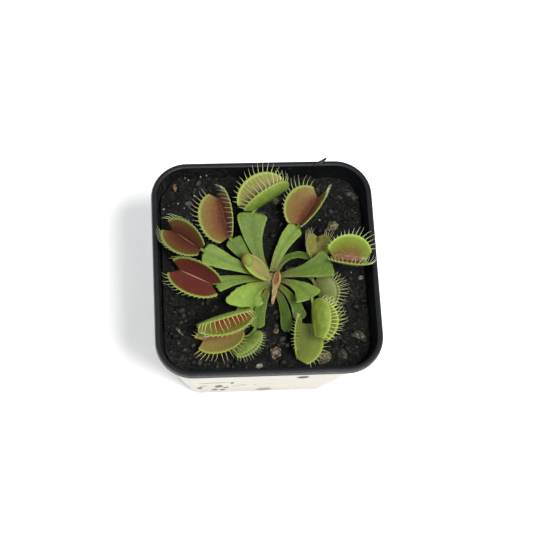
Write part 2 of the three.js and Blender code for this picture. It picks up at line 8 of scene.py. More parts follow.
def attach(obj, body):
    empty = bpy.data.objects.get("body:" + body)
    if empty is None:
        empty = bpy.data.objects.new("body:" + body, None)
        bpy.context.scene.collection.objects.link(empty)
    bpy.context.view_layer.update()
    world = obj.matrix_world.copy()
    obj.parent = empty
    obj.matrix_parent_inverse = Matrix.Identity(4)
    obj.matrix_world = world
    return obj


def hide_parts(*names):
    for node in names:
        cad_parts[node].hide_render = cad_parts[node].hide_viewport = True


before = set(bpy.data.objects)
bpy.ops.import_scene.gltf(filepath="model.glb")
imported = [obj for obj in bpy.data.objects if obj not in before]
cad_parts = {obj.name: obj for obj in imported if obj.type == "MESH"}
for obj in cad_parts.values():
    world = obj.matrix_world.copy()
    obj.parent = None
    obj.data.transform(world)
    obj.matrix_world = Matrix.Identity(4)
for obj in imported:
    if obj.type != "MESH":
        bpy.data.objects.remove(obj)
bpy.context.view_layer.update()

# ---------------------------------------------------------------- camera, floor and light
# The pot stands on a plain pale floor. The camera looks steeply down on it from beyond its front wall, a
# little to the left. One large soft lamp stands high at the front right, and a fainter one at the left.

camera = bpy.data.objects.new("camera", bpy.data.cameras.new("camera"))
camera.data.sensor_width = 36
camera.data.lens = 98.3
camera.data.shift_y = -0.0011
camera.data.clip_start, camera.data.clip_end = 0.05, 20
camera.matrix_world = Matrix((
    (0.99622333, 0.02565788, -0.08295031, -0.045316),
    (-0.05213732, 0.94070804, -0.33518665, -0.184055),
    (0.06943184, 0.33824557, 0.93849302, 0.589440),
    (0, 0, 0, 1),
))
bpy.context.scene.collection.objects.link(camera)
bpy.context.scene.camera = camera
bpy.context.scene.view_settings.view_transform = "Standard"


MM_IN_METRE = 1000


def rgb(red, green, blue):
    """A colour as the eye sees it, from 0 to 255, as the shaders take it."""
    levels = (c / 255 for c in (red, green, blue))
    return tuple(c / 12.92 if c < 0.039 else ((c + 0.055) / 1.055) ** 2.4 for c in levels) + (1,)


class Value:
    """A socket that gives a value. Arithmetic on it adds Math nodes."""

    def __init__(self, finish, socket):
        self.finish, self.socket = finish, socket

    def math(self, operation, *others):
        return self.finish.node("ShaderNodeMath", {"operation": operation}, dict(enumerate(others)))

    def __add__(self, other):
        return self.math("ADD", self, other)

    def __sub__(self, other):
        return self.math("SUBTRACT", self, other)

    def __rsub__(self, other):
        return self.math("SUBTRACT", other, self)

    def __mul__(self, other):
        return self.math("MULTIPLY", self, other)

    def __truediv__(self, other):
        return self.math("DIVIDE", self, other)

    def __pow__(self, other):
        return self.math("POWER", self, other)

    def __abs__(self):
        return self.math("ABSOLUTE", self)

    __radd__ = __add__
    __rmul__ = __mul__

    def __rtruediv__(self, other):
        return self.math("DIVIDE", other, self)

    def sine(self):
        return self.math("SINE", self)

    def larger(self, other):
        return self.math("MAXIMUM", self, other)

    def rise(self, low, high):
        """0 below low and 1 above high, smooth between them."""
        return self.finish.node(
            "ShaderNodeMapRange", {"interpolation_type": "SMOOTHSTEP"},
            {"Value": self, "From Min": low, "From Max": high})


class Finish:
    """A material, with the nodes that a piece's surface needs."""

    def __init__(self, name):
        self.material = bpy.data.materials.new(name)
        self.material.use_nodes = True
        self.tree = self.material.node_tree
        self.shader = self.tree.nodes["Principled BSDF"]
        self.place = self.node("ShaderNodeTexCoord", output="Object")

    def node(self, kind, settings=None, sockets=None, output=0):
        """A node of any kind, with its settings, its sockets' values or links, and the output it gives."""
        made = self.tree.nodes.new(kind)
        for name, value in (settings or {}).items():
            setattr(made, name, value)
        for socket, value in (sockets or {}).items():
            self.feed(made.inputs[socket], value)
        return Value(self, made.outputs[output])

    def feed(self, socket, value):
        if isinstance(value, Value):
            self.tree.links.new(value.socket, socket)
        else:
            socket.default_value = value

    def kept(self, name):
        """A number that the mesh keeps at each corner."""
        return self.node("ShaderNodeAttribute", {"attribute_name": name}, output="Fac")

    def axis(self, name):
        """The place along X, Y or Z, in metres."""
        return self.node("ShaderNodeSeparateXYZ", sockets={0: self.place}, output=name)

    def cloud(self, size_mm, detail=2.0, roughness=0.5, at=None):
        return self.node("ShaderNodeTexNoise", sockets={
            "Vector": at or self.place, "Scale": MM_IN_METRE / size_mm,
            "Detail": detail, "Roughness": roughness})

    def cells(self, size_mm, feature="F1", output="Distance"):
        return self.node("ShaderNodeTexVoronoi", {"feature": feature}, {
            "Vector": self.place, "Scale": MM_IN_METRE / size_mm}, output)

    def mix(self, factor, first, second):
        """The first colour where factor is 0, and the second where it is 1."""
        # sockets 6 and 7 and output 2 are the node's colours
        return self.node("ShaderNodeMix", {"data_type": "RGBA"}, {0: factor, 6: first, 7: second}, 2)

    def coats(self, tone, *layers):
        """A tone with further colours laid over it, each a pair of a mask and a colour."""
        for mask, colour in layers:
            tone = self.mix(mask, tone, colour)
        return tone

    def bump(self, height, depth_mm):
        return self.node("ShaderNodeBump", sockets={"Height": height, "Distance": depth_mm / MM_IN_METRE})

    def done(self, **sockets):
        for name, value in sockets.items():
            self.feed(self.shader.inputs[name.replace("_", " ")], value)
        return self.material


def piece(name, bm, materials, slot="", nodes=()):
    """An object from a mesh in millimetres, which rides on the pot and stands for the nodes."""
    bmesh.ops.scale(bm, vec=Vector((1, 1, 1)) / MM_IN_METRE, verts=bm.verts)
    mesh = bpy.data.meshes.new(name)
    bm.to_mesh(mesh)
    bm.free()
    for material in materials:
        mesh.materials.append(material)
    mesh.shade_smooth()
    made = bpy.data.objects.new(name, mesh)
    bpy.context.scene.collection.objects.link(made)
    if slot:
        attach(made, "root")
    if nodes:
        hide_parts(*nodes)
    return made


FLOOR_REACH = 1500
floor_mesh = bmesh.new()
bmesh.ops.create_grid(floor_mesh, x_segments=2, y_segments=2, size=FLOOR_REACH)
floor_finish = Finish("pale_floor")
floor_tone = floor_finish.mix(floor_finish.cloud(300), rgb(240, 240, 239), rgb(246, 246, 245))
floor = piece("floor", floor_mesh, [floor_finish.done(Base_Color=floor_tone, Roughness=0.7)])


LAMP_AIM = Vector((0, 0, 0.06))


def lamp(name, place, size, power, colour):
    """A round soft lamp that points at the plant."""
    light = bpy.data.lights.new(name, "AREA")
    light.shape, light.size, light.energy, light.color = "DISK", size, power, colour
    made = bpy.data.objects.new(name, light)
    made.location = place
    made.rotation_euler = (LAMP_AIM - Vector(place)).to_track_quat("-Z", "Y").to_euler()
    bpy.context.scene.collection.objects.link(made)


lamp("key_lamp", (0.36, -0.38, 1.25), 0.5, 29, (1, 0.98, 0.94))
lamp("fill_lamp", (-1.0, 0.3, 0.9), 0.8, 5, (0.94, 0.97, 1))
world = bpy.data.worlds.new("studio")
world.use_nodes = True
sky = world.node_tree.nodes["Background"]
sky.inputs["Color"].default_value = (0.93, 0.96, 1, 1)
sky.inputs["Strength"].default_value = 0.66
bpy.context.scene.world = world

# ---------------------------------------------------------------- pot
# A square nursery pot, moulded from one thin sheet of two-tone plastic: off-white outside, black inside and
# on the lip. It tapers to its foot ring, with drain holes in the floor and a notch under each wall. The outer
# rounding of the lip is lighter grey, partly wear and partly a painted highlight, and wet mix has marked the
# front wall.

POT_TOP, POT_BASE, POT_HEIGHT = 85, 58, 75
LIP_CORNER, WALL_CORNER, BASE_CORNER = 14, 12.8, 5
LIP_OUT, LIP_DEPTH, LIP_UNDER_ROUND, LIP_TOP_ROUND = 1.4, 3.4, 0.6, 0.9
WALL, FOOT_WIDTH, FLOOR_TOP, FLOOR_UNDER = 1, 2.5, 3.2, 1.8
WALL_TOP = POT_HEIGHT - LIP_DEPTH
CORNER_STEPS = 12
DRAIN_RADIUS, DRAIN_OFFSET, NOTCH_RADIUS = 2.6, 17, 1.7
GAP = 0.3  # between pieces that would touch
WHITE, BLACK, WORN_HIGHLIT = 0, 1, 2  # the pot's materials
# bands of faces, each with the number of the ring that it ends at
OUTER_BANDS, LIP_EDGE_BANDS = range(2, 11), range(18, 22)


def wall_side(z):
    """The outer side of the wall at height z."""
    return POT_BASE + (POT_TOP - 2 * LIP_OUT - POT_BASE) * z / WALL_TOP


def wall_corner(z):
    """The outer corner radius of the wall at height z."""
    return BASE_CORNER + (WALL_CORNER - BASE_CORNER) * z / WALL_TOP


def round_square(step, side, corner, z):
    """Point number step on a square with round corners."""
    quarter, along = divmod(step, CORNER_STEPS + 1)
    turn = math.pi / 2 * (quarter + along / CORNER_STEPS)
    flat = side / 2 - corner
    x = flat if quarter in (0, 3) else -flat
    y = flat if quarter < 2 else -flat
    return Vector((x + corner * math.cos(turn), y + corner * math.sin(turn), z))


def pot_rings():
    """The section from under the floor, round the foot, up the wall, over the lip and down inside."""
    foot_inside = (POT_BASE - 2 * FOOT_WIDTH, BASE_CORNER - FOOT_WIDTH)
    rings = [(*foot_inside, FLOOR_UNDER), (*foot_inside, 0.2), (POT_BASE - 4.7, BASE_CORNER - 2.4, 0),
             (POT_BASE - 0.6, BASE_CORNER - 0.3, 0)]
    rings += [(wall_side(z), wall_corner(z), z) for z in (0.3, 12, 24, 36, 48, 60, WALL_TOP - 0.5)]
    rings.append((wall_side(WALL_TOP) + 0.4, LIP_CORNER - 1, WALL_TOP))
    for radius, middle, turns in ((LIP_UNDER_ROUND, WALL_TOP + LIP_UNDER_ROUND, range(-80, 1, 20)),
                                  (LIP_TOP_ROUND, POT_HEIGHT - LIP_TOP_ROUND, range(0, 91, 15))):
        for turn in turns:
            out, up = radius * math.cos(math.radians(turn)) - radius, radius * math.sin(math.radians(turn))
            rings.append((POT_TOP + 2 * out, LIP_CORNER + out, middle + up))
    rings.append((POT_TOP - 3.4, LIP_CORNER - 1.8, POT_HEIGHT))
    rings.append((POT_TOP - 4.2, LIP_CORNER - 2.1, POT_HEIGHT - 0.3))
    for z in (POT_HEIGHT - 1.4, 60, 45, 30, 15, FLOOR_TOP):
        rings.append((wall_side(z) - 2 * WALL, wall_corner(z) - WALL, z))
    return rings


def grow(bm, edges):
    """Extrudes a rim of edges. Gives the new corners, the new faces and the new rim."""
    made = bmesh.ops.extrude_edge_only(bm, edges=edges)["geom"]
    verts = [g for g in made if isinstance(g, bmesh.types.BMVert)]
    faces = [g for g in made if isinstance(g, bmesh.types.BMFace)]
    return verts, faces, [g for g in made if isinstance(g, bmesh.types.BMEdge) and len(g.link_faces) == 1]


pot_mesh = bmesh.new()
bmesh.ops.create_circle(pot_mesh, segments=4 * (CORNER_STEPS + 1), radius=1)
station = pot_mesh.verts.layers.int.new("station")
pot_mesh.verts.ensure_lookup_table()
first_ring, *later_rings = pot_rings()
for step, vert in enumerate(pot_mesh.verts):
    vert[station] = step
    vert.co = round_square(step, *first_ring)
under_rim = pot_mesh.edges[:]
edge_loop = under_rim
for number, ring in enumerate(later_rings, 1):
    new_verts, new_faces, edge_loop = grow(pot_mesh, edge_loop)
    for vert in new_verts:
        vert.co = round_square(vert[station], *ring)
    for face in new_faces:
        face.material_index = WHITE if number in OUTER_BANDS else WORN_HIGHLIT if number in LIP_EDGE_BANDS else BLACK
for loop in (under_rim, edge_loop):
    for face in bmesh.ops.contextual_create(pot_mesh, geom=loop)["faces"]:
        face.material_index = BLACK
bmesh.ops.recalc_face_normals(pot_mesh, faces=pot_mesh.faces)

white_plastic = Finish("off_white_plastic")
mottle = white_plastic.cloud(9, 3)
flow = white_plastic.cloud(2.5, 2)
level = white_plastic.axis("Z")
dirt = white_plastic.cloud(5, 4, 0.65).rise(0.55, 0.75) * (1 - level.rise(0.0, 0.02))
# stains and crumbs of wet mix on the front wall: x and z, half width and half height, and how dark
SMUDGES = [
    (-19.6, 40.2, 5.2, 1.1, 0.6), (-12.6, 37.8, 0.55, 2.4, 1), (-24.7, 21, 0.9, 3, 0.9),
    (-23.4, 29, 1.5, 1.3, 0.6), (-17.3, 26, 1.3, 4.2, 0.9), (-14.2, 20.8, 0.9, 2.4, 0.8),
    (-18.3, 12.8, 1.2, 3, 0.8), (-15.2, 11.7, 0.95, 3, 0.8), (14, 51.7, 1.9, 3.4, 1),
    (-7.8, 29, 1.3, 1.6, 0.35), (-10, 24.8, 1.7, 1.5, 0.3), (-3.2, 28.3, 0.6, 1.6, 0.35),
    (-16, 12, 11, 0.7, 0.3), (2.1, 8.8, 2.6, 5, 0.5)]
FRONT_WALL = (-0.027, -0.025)  # the marks fade out between these places on Y, in metres
across = white_plastic.axis("X") * MM_IN_METRE + (flow - 0.5) * 1.6
upward = level * MM_IN_METRE + (white_plastic.cloud(1.8, 2) - 0.5) * 2.2
marks = None
for x, z, wide, tall, depth in SMUDGES:
    off = (abs(across - x) / wide) ** 2 + (abs(upward - z) / tall) ** 2
    mark = (1 - off.rise(0.8, 2.2)) * depth
    marks = mark if marks is None else marks.larger(mark)
marks = marks * (1 - white_plastic.axis("Y").rise(*FRONT_WALL))
plastic_tone = white_plastic.coats(
    white_plastic.mix(mottle, rgb(180, 176, 167), rgb(170, 166, 156)),
    (dirt * 0.5, rgb(128, 118, 102)),
    (marks * 0.95, rgb(22, 20, 19)))
white_skin = white_plastic.done(
    Base_Color=plastic_tone, Roughness=0.4 + 0.12 * mottle + 0.3 * marks, Specular_IOR_Level=0.3,
    Normal=white_plastic.bump(flow + marks * 2, 0.05))

black_plastic = Finish("black_plastic")
scuff = black_plastic.cloud(1.1, 3, 0.6)
haze = black_plastic.cloud(7, 3)
black_level = black_plastic.axis("Z")
dust = black_plastic.cloud(0.7, 2).rise(0.62, 0.72) * (1 - black_level.rise(0.067, 0.073))
# mix that clings to the wall above its level, most of it at the left
splash = (black_plastic.cloud(3, 4, 0.7) + black_plastic.axis("X") * -3).rise(0.5, 0.6)
splash = splash * (1 - black_level.rise(0.0725, 0.0742))
black_tone = black_plastic.coats(
    black_plastic.mix(haze, rgb(9, 10, 13), rgb(16, 18, 22)),
    (dust * 0.5, rgb(78, 73, 66)),
    (splash * 0.9, black_plastic.mix(scuff.rise(0.4, 0.7), rgb(9, 9, 9), rgb(48, 49, 46))))
black_skin = black_plastic.done(
    Base_Color=black_tone, Roughness=0.4 + 0.2 * scuff + 0.2 * dust, Specular_IOR_Level=0.14,
    Normal=black_plastic.bump(scuff, 0.03))

# the outer rounding of the lip: lighter grey, partly wear and partly a painted highlight
worn_highlit_lip = Finish("worn_highlit_lip_edge")
wear_and_sheen = worn_highlit_lip.cloud(1.3, 3, 0.6)
worn_highlit_tone = worn_highlit_lip.mix(wear_and_sheen.rise(0.4, 0.7), rgb(24, 26, 30), rgb(48, 51, 55))
worn_highlit_skin = worn_highlit_lip.done(Base_Color=worn_highlit_tone, Roughness=0.3 + 0.2 * wear_and_sheen, Specular_IOR_Level=0.5)

pot = piece("nursery_pot", pot_mesh, [white_skin, black_skin, worn_highlit_skin], "pot", ["pot"])
DRAIN_CUT, NOTCH_CUT = 4, POT_BASE + 8  # how long the cutters are, to reach through the plastic
drains = bmesh.new()
for x, y in ((1, 1), (-1, 1), (-1, -1), (1, -1), (0, 0)):
    bmesh.ops.create_cone(
        drains, cap_ends=True, segments=28, radius1=DRAIN_RADIUS, radius2=DRAIN_RADIUS, depth=DRAIN_CUT,
        matrix=Matrix.Translation((x * DRAIN_OFFSET, y * DRAIN_OFFSET, (FLOOR_TOP + FLOOR_UNDER) / 2)))
for turn in (0, 90):
    bmesh.ops.create_cone(
        drains, cap_ends=True, segments=24, radius1=NOTCH_RADIUS, radius2=NOTCH_RADIUS, depth=NOTCH_CUT,
        matrix=Matrix.Rotation(math.radians(turn), 4, "Z") @ Matrix.Rotation(math.pi / 2, 4, "X"))
cutter = piece("drain_cutter", drains, [black_skin])
cut = pot.modifiers.new("drains", "BOOLEAN")
cut.object, cut.operation, cut.solver = cutter, "DIFFERENCE", "EXACT"
cut_mesh = bpy.data.meshes.new_from_object(pot.evaluated_get(bpy.context.evaluated_depsgraph_get()))
pot.modifiers.clear()
pot.data = cut_mesh
bpy.data.objects.remove(cutter)
pot.data.set_sharp_from_angle(angle=math.radians(40))

# ---------------------------------------------------------------- potting mix
# Damp black peat and bark mix that fills the pot to 9 mm below the lip, with loose crumbs on top and a
# few white grains of perlite.

SOIL_TOP = 66
SOIL_RIM, SOIL_RIM_DROP = 0.02, 0.8  # the band that turns down at the wall, of half the side, and how far
CLODS = ((0.95, 0.42, 3.4), (0.6, 0.4, 1.4))  # height, mean level and size of the large and the small clods
BANK_WIDTH = 1.8
UP = Vector((0, 0, 1))


def hash_at(i):
    """A repeatable random number from 0 to 1."""
    s = math.sin(i * 127.1 + 311.7) * 43758.5453
    return s - math.floor(s)


def pot_inside(z, inset):
    """Half the side and the corner radius of the pot's inside at height z, less an inset."""
    return wall_side(z) / 2 - WALL - inset, wall_corner(z) - WALL - inset


def in_pot(x, y, z, inset):
    """A point of the square from -1 to 1, spread over the pot's inside at height z."""
    half, corner = pot_inside(z, inset)
    flat = half - corner
    reach = max(abs(x), abs(y))
    if reach < 1e-9:
        return Vector((0, 0, z))
    dx, dy = abs(x) / reach, abs(y) / reach
    stretch = half
    if min(dx, dy) * half > flat:  # where the line from the middle meets the round corner
        a, b, c = dx * dx + dy * dy, -2 * flat * (dx + dy), 2 * flat * flat - corner * corner
        stretch = (-b + math.sqrt(b * b - 4 * a * c)) / (2 * a)
    return Vector((x * stretch, y * stretch, z))


def crumble(x, y):
    """How far the mix stands over its mean level: clods, and a bank along the wall, highest on the left."""
    place = Vector((x, y, 0))
    clods = sum(high * (mean - noise.voronoi(place / size)[0][0]) for high, mean, size in CLODS)
    half, corner = pot_inside(SOIL_TOP, GAP)
    past = (abs(x) - half + corner, abs(y) - half + corner)
    from_wall = max(0, corner - math.hypot(max(past[0], 0), max(past[1], 0)) - min(max(past), 0))
    turn = math.atan2(y, x)
    bank = (2.7 - 2.1 * math.cos(turn + 0.5)) * (0.85 + 0.9 * noise.noise(place / 5 + UP * 3))
    return (1.1 * clods + 0.6 * noise.noise(place / 9) + 0.4 * noise.fractal(place / 1.3, 0.7, 2, 3)
            + bank * math.exp(-from_wall / BANK_WIDTH))


soil_mesh = bmesh.new()
relief = soil_mesh.verts.layers.float.new("relief")
soil_top = bmesh.ops.create_grid(soil_mesh, x_segments=200, y_segments=200, size=1)["verts"]
soil_rim = [e for e in soil_mesh.edges if len(e.link_faces) == 1]
for vert in soil_top:
    x, y = vert.co.x, vert.co.y
    edge = 1 - max(abs(x), abs(y))
    vert.co = in_pot(x, y, SOIL_TOP, GAP)
    vert[relief] = crumble(vert.co.x, vert.co.y)
    vert.co.z += vert[relief] - SOIL_RIM_DROP * max(0, 1 - edge / SOIL_RIM) ** 2
for z in (SOIL_TOP - 8, 35, FLOOR_TOP + GAP):
    new_verts, _, soil_rim = grow(soil_mesh, soil_rim)
    for vert in new_verts:
        square = Vector((vert.co.x, vert.co.y, 0)) / max(abs(vert.co.x), abs(vert.co.y))
        vert.co = in_pot(square.x, square.y, z, GAP)
bmesh.ops.contextual_create(soil_mesh, geom=soil_rim)
bmesh.ops.recalc_face_normals(soil_mesh, faces=soil_mesh.faces)

peat = Finish("damp_peat")
clod = peat.cells(1.9)
grain = peat.cloud(0.55, 3, 0.7)
patch = peat.cloud(6, 3)
fibre = peat.cloud(0.9, 2, at=peat.node("ShaderNodeMapping", sockets={
    "Vector": peat.place, "Rotation": (0, 0, 0.6), "Scale": (1, 6, 1)}))
# painted shade: the mix is darkened nearly to black where it lies low, between the clods
height_for_shade = peat.kept("relief") + (grain - 0.5) * 0.8
lumps = peat.cloud(1.1, 4, 0.75)
# about one cell in ten holds a pale speck of grit
GRIT_CELL = 1.4
grit_pick = peat.node("ShaderNodeSeparateColor", sockets={"Color": peat.cells(GRIT_CELL, output="Color")})
grit = grit_pick.rise(0.9, 0.91) * (1 - peat.cells(GRIT_CELL).rise(0.13, 0.2))
peat_tone = peat.coats(
    peat.mix(grain.rise(0.42, 0.72), rgb(3, 3, 4), rgb(30, 32, 31)),
    (lumps.rise(0.5, 0.68) * 0.75, rgb(52, 54, 49)),
    (patch.rise(0.48, 0.7) * lumps.rise(0.42, 0.6) * 0.5, rgb(62, 62, 52)),
    # painted shade in the low places of the mix
    ((1 - height_for_shade.rise(-0.55, 0.15)) * 0.85, rgb(3, 3, 4)),
    (fibre.rise(0.64, 0.7) * 0.4, rgb(80, 74, 60)),
    (grit * 0.7, rgb(112, 108, 98)))
peat_skin = peat.done(
    Base_Color=peat_tone, Roughness=0.5 + 0.35 * grain, Specular_IOR_Level=0.2,
    Normal=peat.bump(grain + lumps * 1.5 + clod * -1.2, 0.9))
piece("potting_mix", soil_mesh, [peat_skin], "soil", ["soil"])

CRUMBS, CRUMB_INSET = 1100, GAP + 1.3
crumb_template = bpy.data.meshes.new("crumb_template")
crumb_shape = bmesh.new()
bmesh.ops.create_icosphere(crumb_shape, subdivisions=1, radius=0.5)
crumb_shape.to_mesh(crumb_template)
crumb_shape.free()


def spot_on_mix(seed, inset):
    """A random place on the mix."""
    return in_pot(2 * hash_at(seed) - 1, 2 * hash_at(seed + 0.5) - 1, SOIL_TOP, inset)


def scatter(bm, x, y, size, seed, sink):
    """One angular crumb, laid on the mix. Sink is how deep it lies, beside its size."""
    first = len(bm.verts)
    bm.from_mesh(crumb_template)
    bm.verts.ensure_lookup_table()
    turn = Matrix.Rotation(6.3 * hash_at(seed), 3, "Z") @ Matrix.Rotation(2 * hash_at(seed + 0.3), 3, "X")
    z = SOIL_TOP + crumble(x, y) + size * (0.3 - sink)
    for vert in bm.verts[first:]:
        rough = 0.8 + 0.5 * hash_at(seed + 3.7 * (vert.index + 1) + vert.co.x)
        shape = Vector((vert.co.x * 1.3, vert.co.y, vert.co.z * 0.8)) * size * rough
        vert.co = turn @ shape + Vector((x, y, z))


crumbs = bmesh.new()
for i in range(CRUMBS):
    spot = spot_on_mix(i, CRUMB_INSET)
    scatter(crumbs, spot.x, spot.y, 0.5 + 2.6 * hash_at(i + 0.25) ** 4, i, sink=0.15)
peat_crumb = Finish("peat_crumb")
crumb_cell = peat_crumb.cells(2.6, output="Color")
crumb_pick = peat_crumb.node("ShaderNodeSeparateColor", sockets={"Color": crumb_cell})
crumb_grain = peat_crumb.cloud(0.5, 3)
crumb_tone = peat_crumb.coats(
    peat_crumb.mix(crumb_pick ** 4, rgb(7, 7, 8), rgb(50, 50, 46)),
    (crumb_grain.rise(0.5, 0.7) * 0.6, rgb(9, 9, 9)))
piece("peat_crumbs", crumbs, [peat_crumb.done(
    Base_Color=crumb_tone, Roughness=0.5 + 0.35 * crumb_grain, Specular_IOR_Level=0.2,
    Normal=peat_crumb.bump(crumb_grain, 0.15))], "soil")

# x, y and size of the white grains that show, and a sprinkling of small ones
GRAINS = [(-29.1, 38.6, 0.8), (-27.8, 38.2, 1), (-23.1, 39.2, 1.1), (-20.8, 39.2, 0.9), (22.6, 21.3, 1),
          (-37.8, 26.2, 1.2), (-36.4, 26.5, 1), (6.4, 25, 0.7), (16.5, 30, 0.7), (-25.7, 32.4, 1.3),
          (-32.1, 29.2, 0.9), (-29.8, 27.2, 0.9), (33.3, -0.8, 0.9)]
SMALL_GRAINS, GRAIN_PLACE_SEED, GRAIN_SIZE_SEED, GRAIN_SHAPE_SEED = 90, 500, 500.2, 900
for i in range(SMALL_GRAINS):
    spot = spot_on_mix(i + GRAIN_PLACE_SEED, GAP + 1)
    GRAINS.append((spot.x, spot.y, 0.3 + 0.25 * hash_at(i + GRAIN_SIZE_SEED)))
grains = bmesh.new()
for seed, (x, y, size) in enumerate(GRAINS, GRAIN_SHAPE_SEED):
    scatter(grains, x, y, 0.7 * size, seed, sink=-0.2)
perlite = Finish("perlite")
perlite_pit = perlite.cloud(0.4, 2)
perlite_tone = perlite.mix(perlite_pit, rgb(84, 82, 76), rgb(140, 137, 128))
piece("perlite_grains", grains, [perlite.done(
    Base_Color=perlite_tone, Roughness=0.8 + 0.1 * perlite_pit,
    Normal=perlite.bump(perlite_pit, 0.1))], "stone")

# ---------------------------------------------------------------- stones and bark
# Pebbles and chips of bark, pitted and cracked, lie half sunk in the mix. One sliver of bark lies loose
# across the back lip.

STONES = {  # x, y, size along, across and up, heading of the long side, tint
    "bark_chip_1": (-33.2, 35.4, (4, 1.5, 1.6), 100, "rust"),
    "stone_1": (-27.9, 29.3, (2.8, 2.2, 1.8), 20, "grey"),
    "stone_2": (35.4, 31.6, (3, 2.2, 1.8), -30, "grey"),
    "stone_3": (27.5, 18.6, (5, 4, 3), 35, "beige"),
    "stone_4": (37, -3, (2.6, 1.9, 1.6), 0, "pale"),
    "bark_chip_2": (34.8, -26.3, (5.6, 3.6, 2.4), -35, "bark"),
    "stone_5": (20.7, -34, (6.6, 5.6, 4), 15, "beige"),
    "stone_6": (27.6, -33.4, (5.6, 4.6, 3.4), -20, "dark"),
    "stone_7": (2.5, -31.7, (5.2, 4.4, 3.4), 60, "brown"),
    "stone_8": (3.2, -23.3, (2.6, 2, 1.8), 40, "beige"),
    "stone_9": (-4, -37, (3.4, 2.2, 1.8), 10, "pale"),
    "bark_chip_3": (-33.1, -22.6, (4.6, 1.2, 1.2), -50, "brown"),
    "bark_chip_4": (6.4, 29.6, (4, 2.6, 1.6), 15, "brown"),
    "lip_chip": (23, 40.9, (7, 1.5, 1.3), 22, "dark"),
}
LIP_CHIP_TILT, LIP_CHIP_RISE = 30, 1.85
BARK_TINTS = ("bark", "rust", "brown", "dark")
TINTS = {  # light and dark colour
    "grey": (rgb(96, 97, 91), rgb(48, 49, 46)), "beige": (rgb(124, 118, 90), rgb(60, 56, 42)),
    "dark": (rgb(68, 70, 60), rgb(26, 28, 24)), "brown": (rgb(126, 114, 94), rgb(40, 34, 28)),
    "bark": (rgb(100, 92, 74), rgb(38, 35, 29)), "rust": (rgb(134, 108, 84), rgb(72, 54, 42)),
    "pale": (rgb(124, 123, 111), rgb(84, 82, 72)),
}


def mineral(tint):
    """A blotched, pitted and cracked skin for a stone or a chip of bark."""
    finish = Finish("stone_" + tint)
    blotch, pits = finish.cloud(1.6, 4, 0.6), finish.cloud(0.35, 3, 0.7)
    cracks = finish.cells(1.1, "DISTANCE_TO_EDGE")
    light, dark = TINTS[tint]
    tone = finish.coats(
        finish.mix(blotch.rise(0.4, 0.62), dark, light),
        (pits.rise(0.45, 0.7) * 0.4, dark),
        # painted shade: the cracks are darkened nearly to black
        ((1 - cracks.rise(0.01, 0.08)) * 0.45, rgb(17, 15, 13)))
    return finish.done(
        Base_Color=tone, Roughness=0.6 + 0.3 * pits, Specular_IOR_Level=0.25,
        Normal=finish.bump(pits + blotch + cracks.rise(0, 0.15), 0.25))


tints = {tint: mineral(tint) for tint in TINTS}
for name, (x, y, size, turn, tint) in STONES.items():
    stone = bmesh.new()
    bmesh.ops.create_icosphere(stone, subdivisions=4, radius=1)
    seed = x * 3.1 + y * 7.7
    for vert in stone.verts:
        p = vert.co.copy()
        rough = 0.9 + 0.09 * math.sin(4 * p.x + seed) * math.cos(3 * p.y - seed)
        rough += 0.07 * math.sin(5 * p.z + seed)
        rough += 0.16 * noise.noise(p * 2.3 + Vector((seed, 0, 0))) + 0.07 * noise.noise(p * 8)
        rough += 0.26 * (0.35 - noise.voronoi(p * 2.2 + UP * seed)[0][0])
        vert.co = Vector((p.x * size[0], p.y * size[1], p.z * size[2])) * 0.5 * rough
    tilt, z = 0, SOIL_TOP + 0.12 * size[2] + max(0, crumble(x, y))
    if name == "lip_chip":
        tilt, z = LIP_CHIP_TILT, POT_HEIGHT + GAP + LIP_CHIP_RISE
    place = (Matrix.Translation((x, y, z)) @ Matrix.Rotation(math.radians(turn), 4, "Z")
             @ Matrix.Rotation(-math.radians(tilt), 4, "Y"))
    bmesh.ops.transform(stone, matrix=place, verts=stone.verts)
    piece(name + "_lump", stone, [tints[tint]], "bark" if tint in BARK_TINTS else "stone", [name])

# ---------------------------------------------------------------- crown and leaf stalks
# The leaves grow round a short pale crown in two tiers. Each stalk is a flat waxy blade that widens from its
# root to a pair of shoulders, with a midrib under it and waved edges. The lower ones are older and darker.

CROWN = Vector((2.3, -3.4, SOIL_TOP))
CROWN_RADIUS, CROWN_DEPTH, CROWN_RISE = 3.3, 12, 4.8
STALK_START = (1.2, 3.4)  # how high the two tiers leave the crown
STALK_THICKNESS, GROOVE, RIB = 0.8, 0.18, 0.9
LEFT_RAGGED = 0.08  # the most that a left edge is ragged


def way(degrees):
    """A level direction, from its heading."""
    return Vector((math.cos(math.radians(degrees)), math.sin(math.radians(degrees)), 0))


def crown_at(height):
    """The crown's axis at a height over the mix."""
    return CROWN + UP * height


def ridge(v, width):
    """A smooth ridge along v = 0, 1 high."""
    return math.exp(-(v / width) ** 2)


def round_edge(v, thinnest, sharpness):
    """A blade's share of its thickness at v, thinnest at its edges."""
    return max(thinnest, (1 - abs(v) ** sharpness) ** 0.5)


def bezier(start, middle, end, u):
    """The point and the direction at u on a curve."""
    point = start * (1 - u) ** 2 + middle * 2 * u * (1 - u) + end * u * u
    ahead = ((middle - start) * (1 - u) + (end - middle) * u).normalized()
    return point, ahead


def square_to(at, u, v):
    """The direction square to the surface at(u, v)."""
    step = 1e-3
    along = at(min(u + step, 1), v) - at(max(u - step, 0), v)
    across = at(u, min(v + step, 1)) - at(u, max(v - step, -1))
    return along.cross(across).normalized()


def leaf_mesh():
    """A mesh that keeps what the leaf finishes read."""
    bm = bmesh.new()
    for name in ("u", "v", "face", "tooth", "shade"):
        bm.verts.layers.float.new(name)
    return bm


def kept_on(bm, *names):
    """A leaf mesh's layers with these names."""
    return (bm.verts.layers.float[name] for name in names)


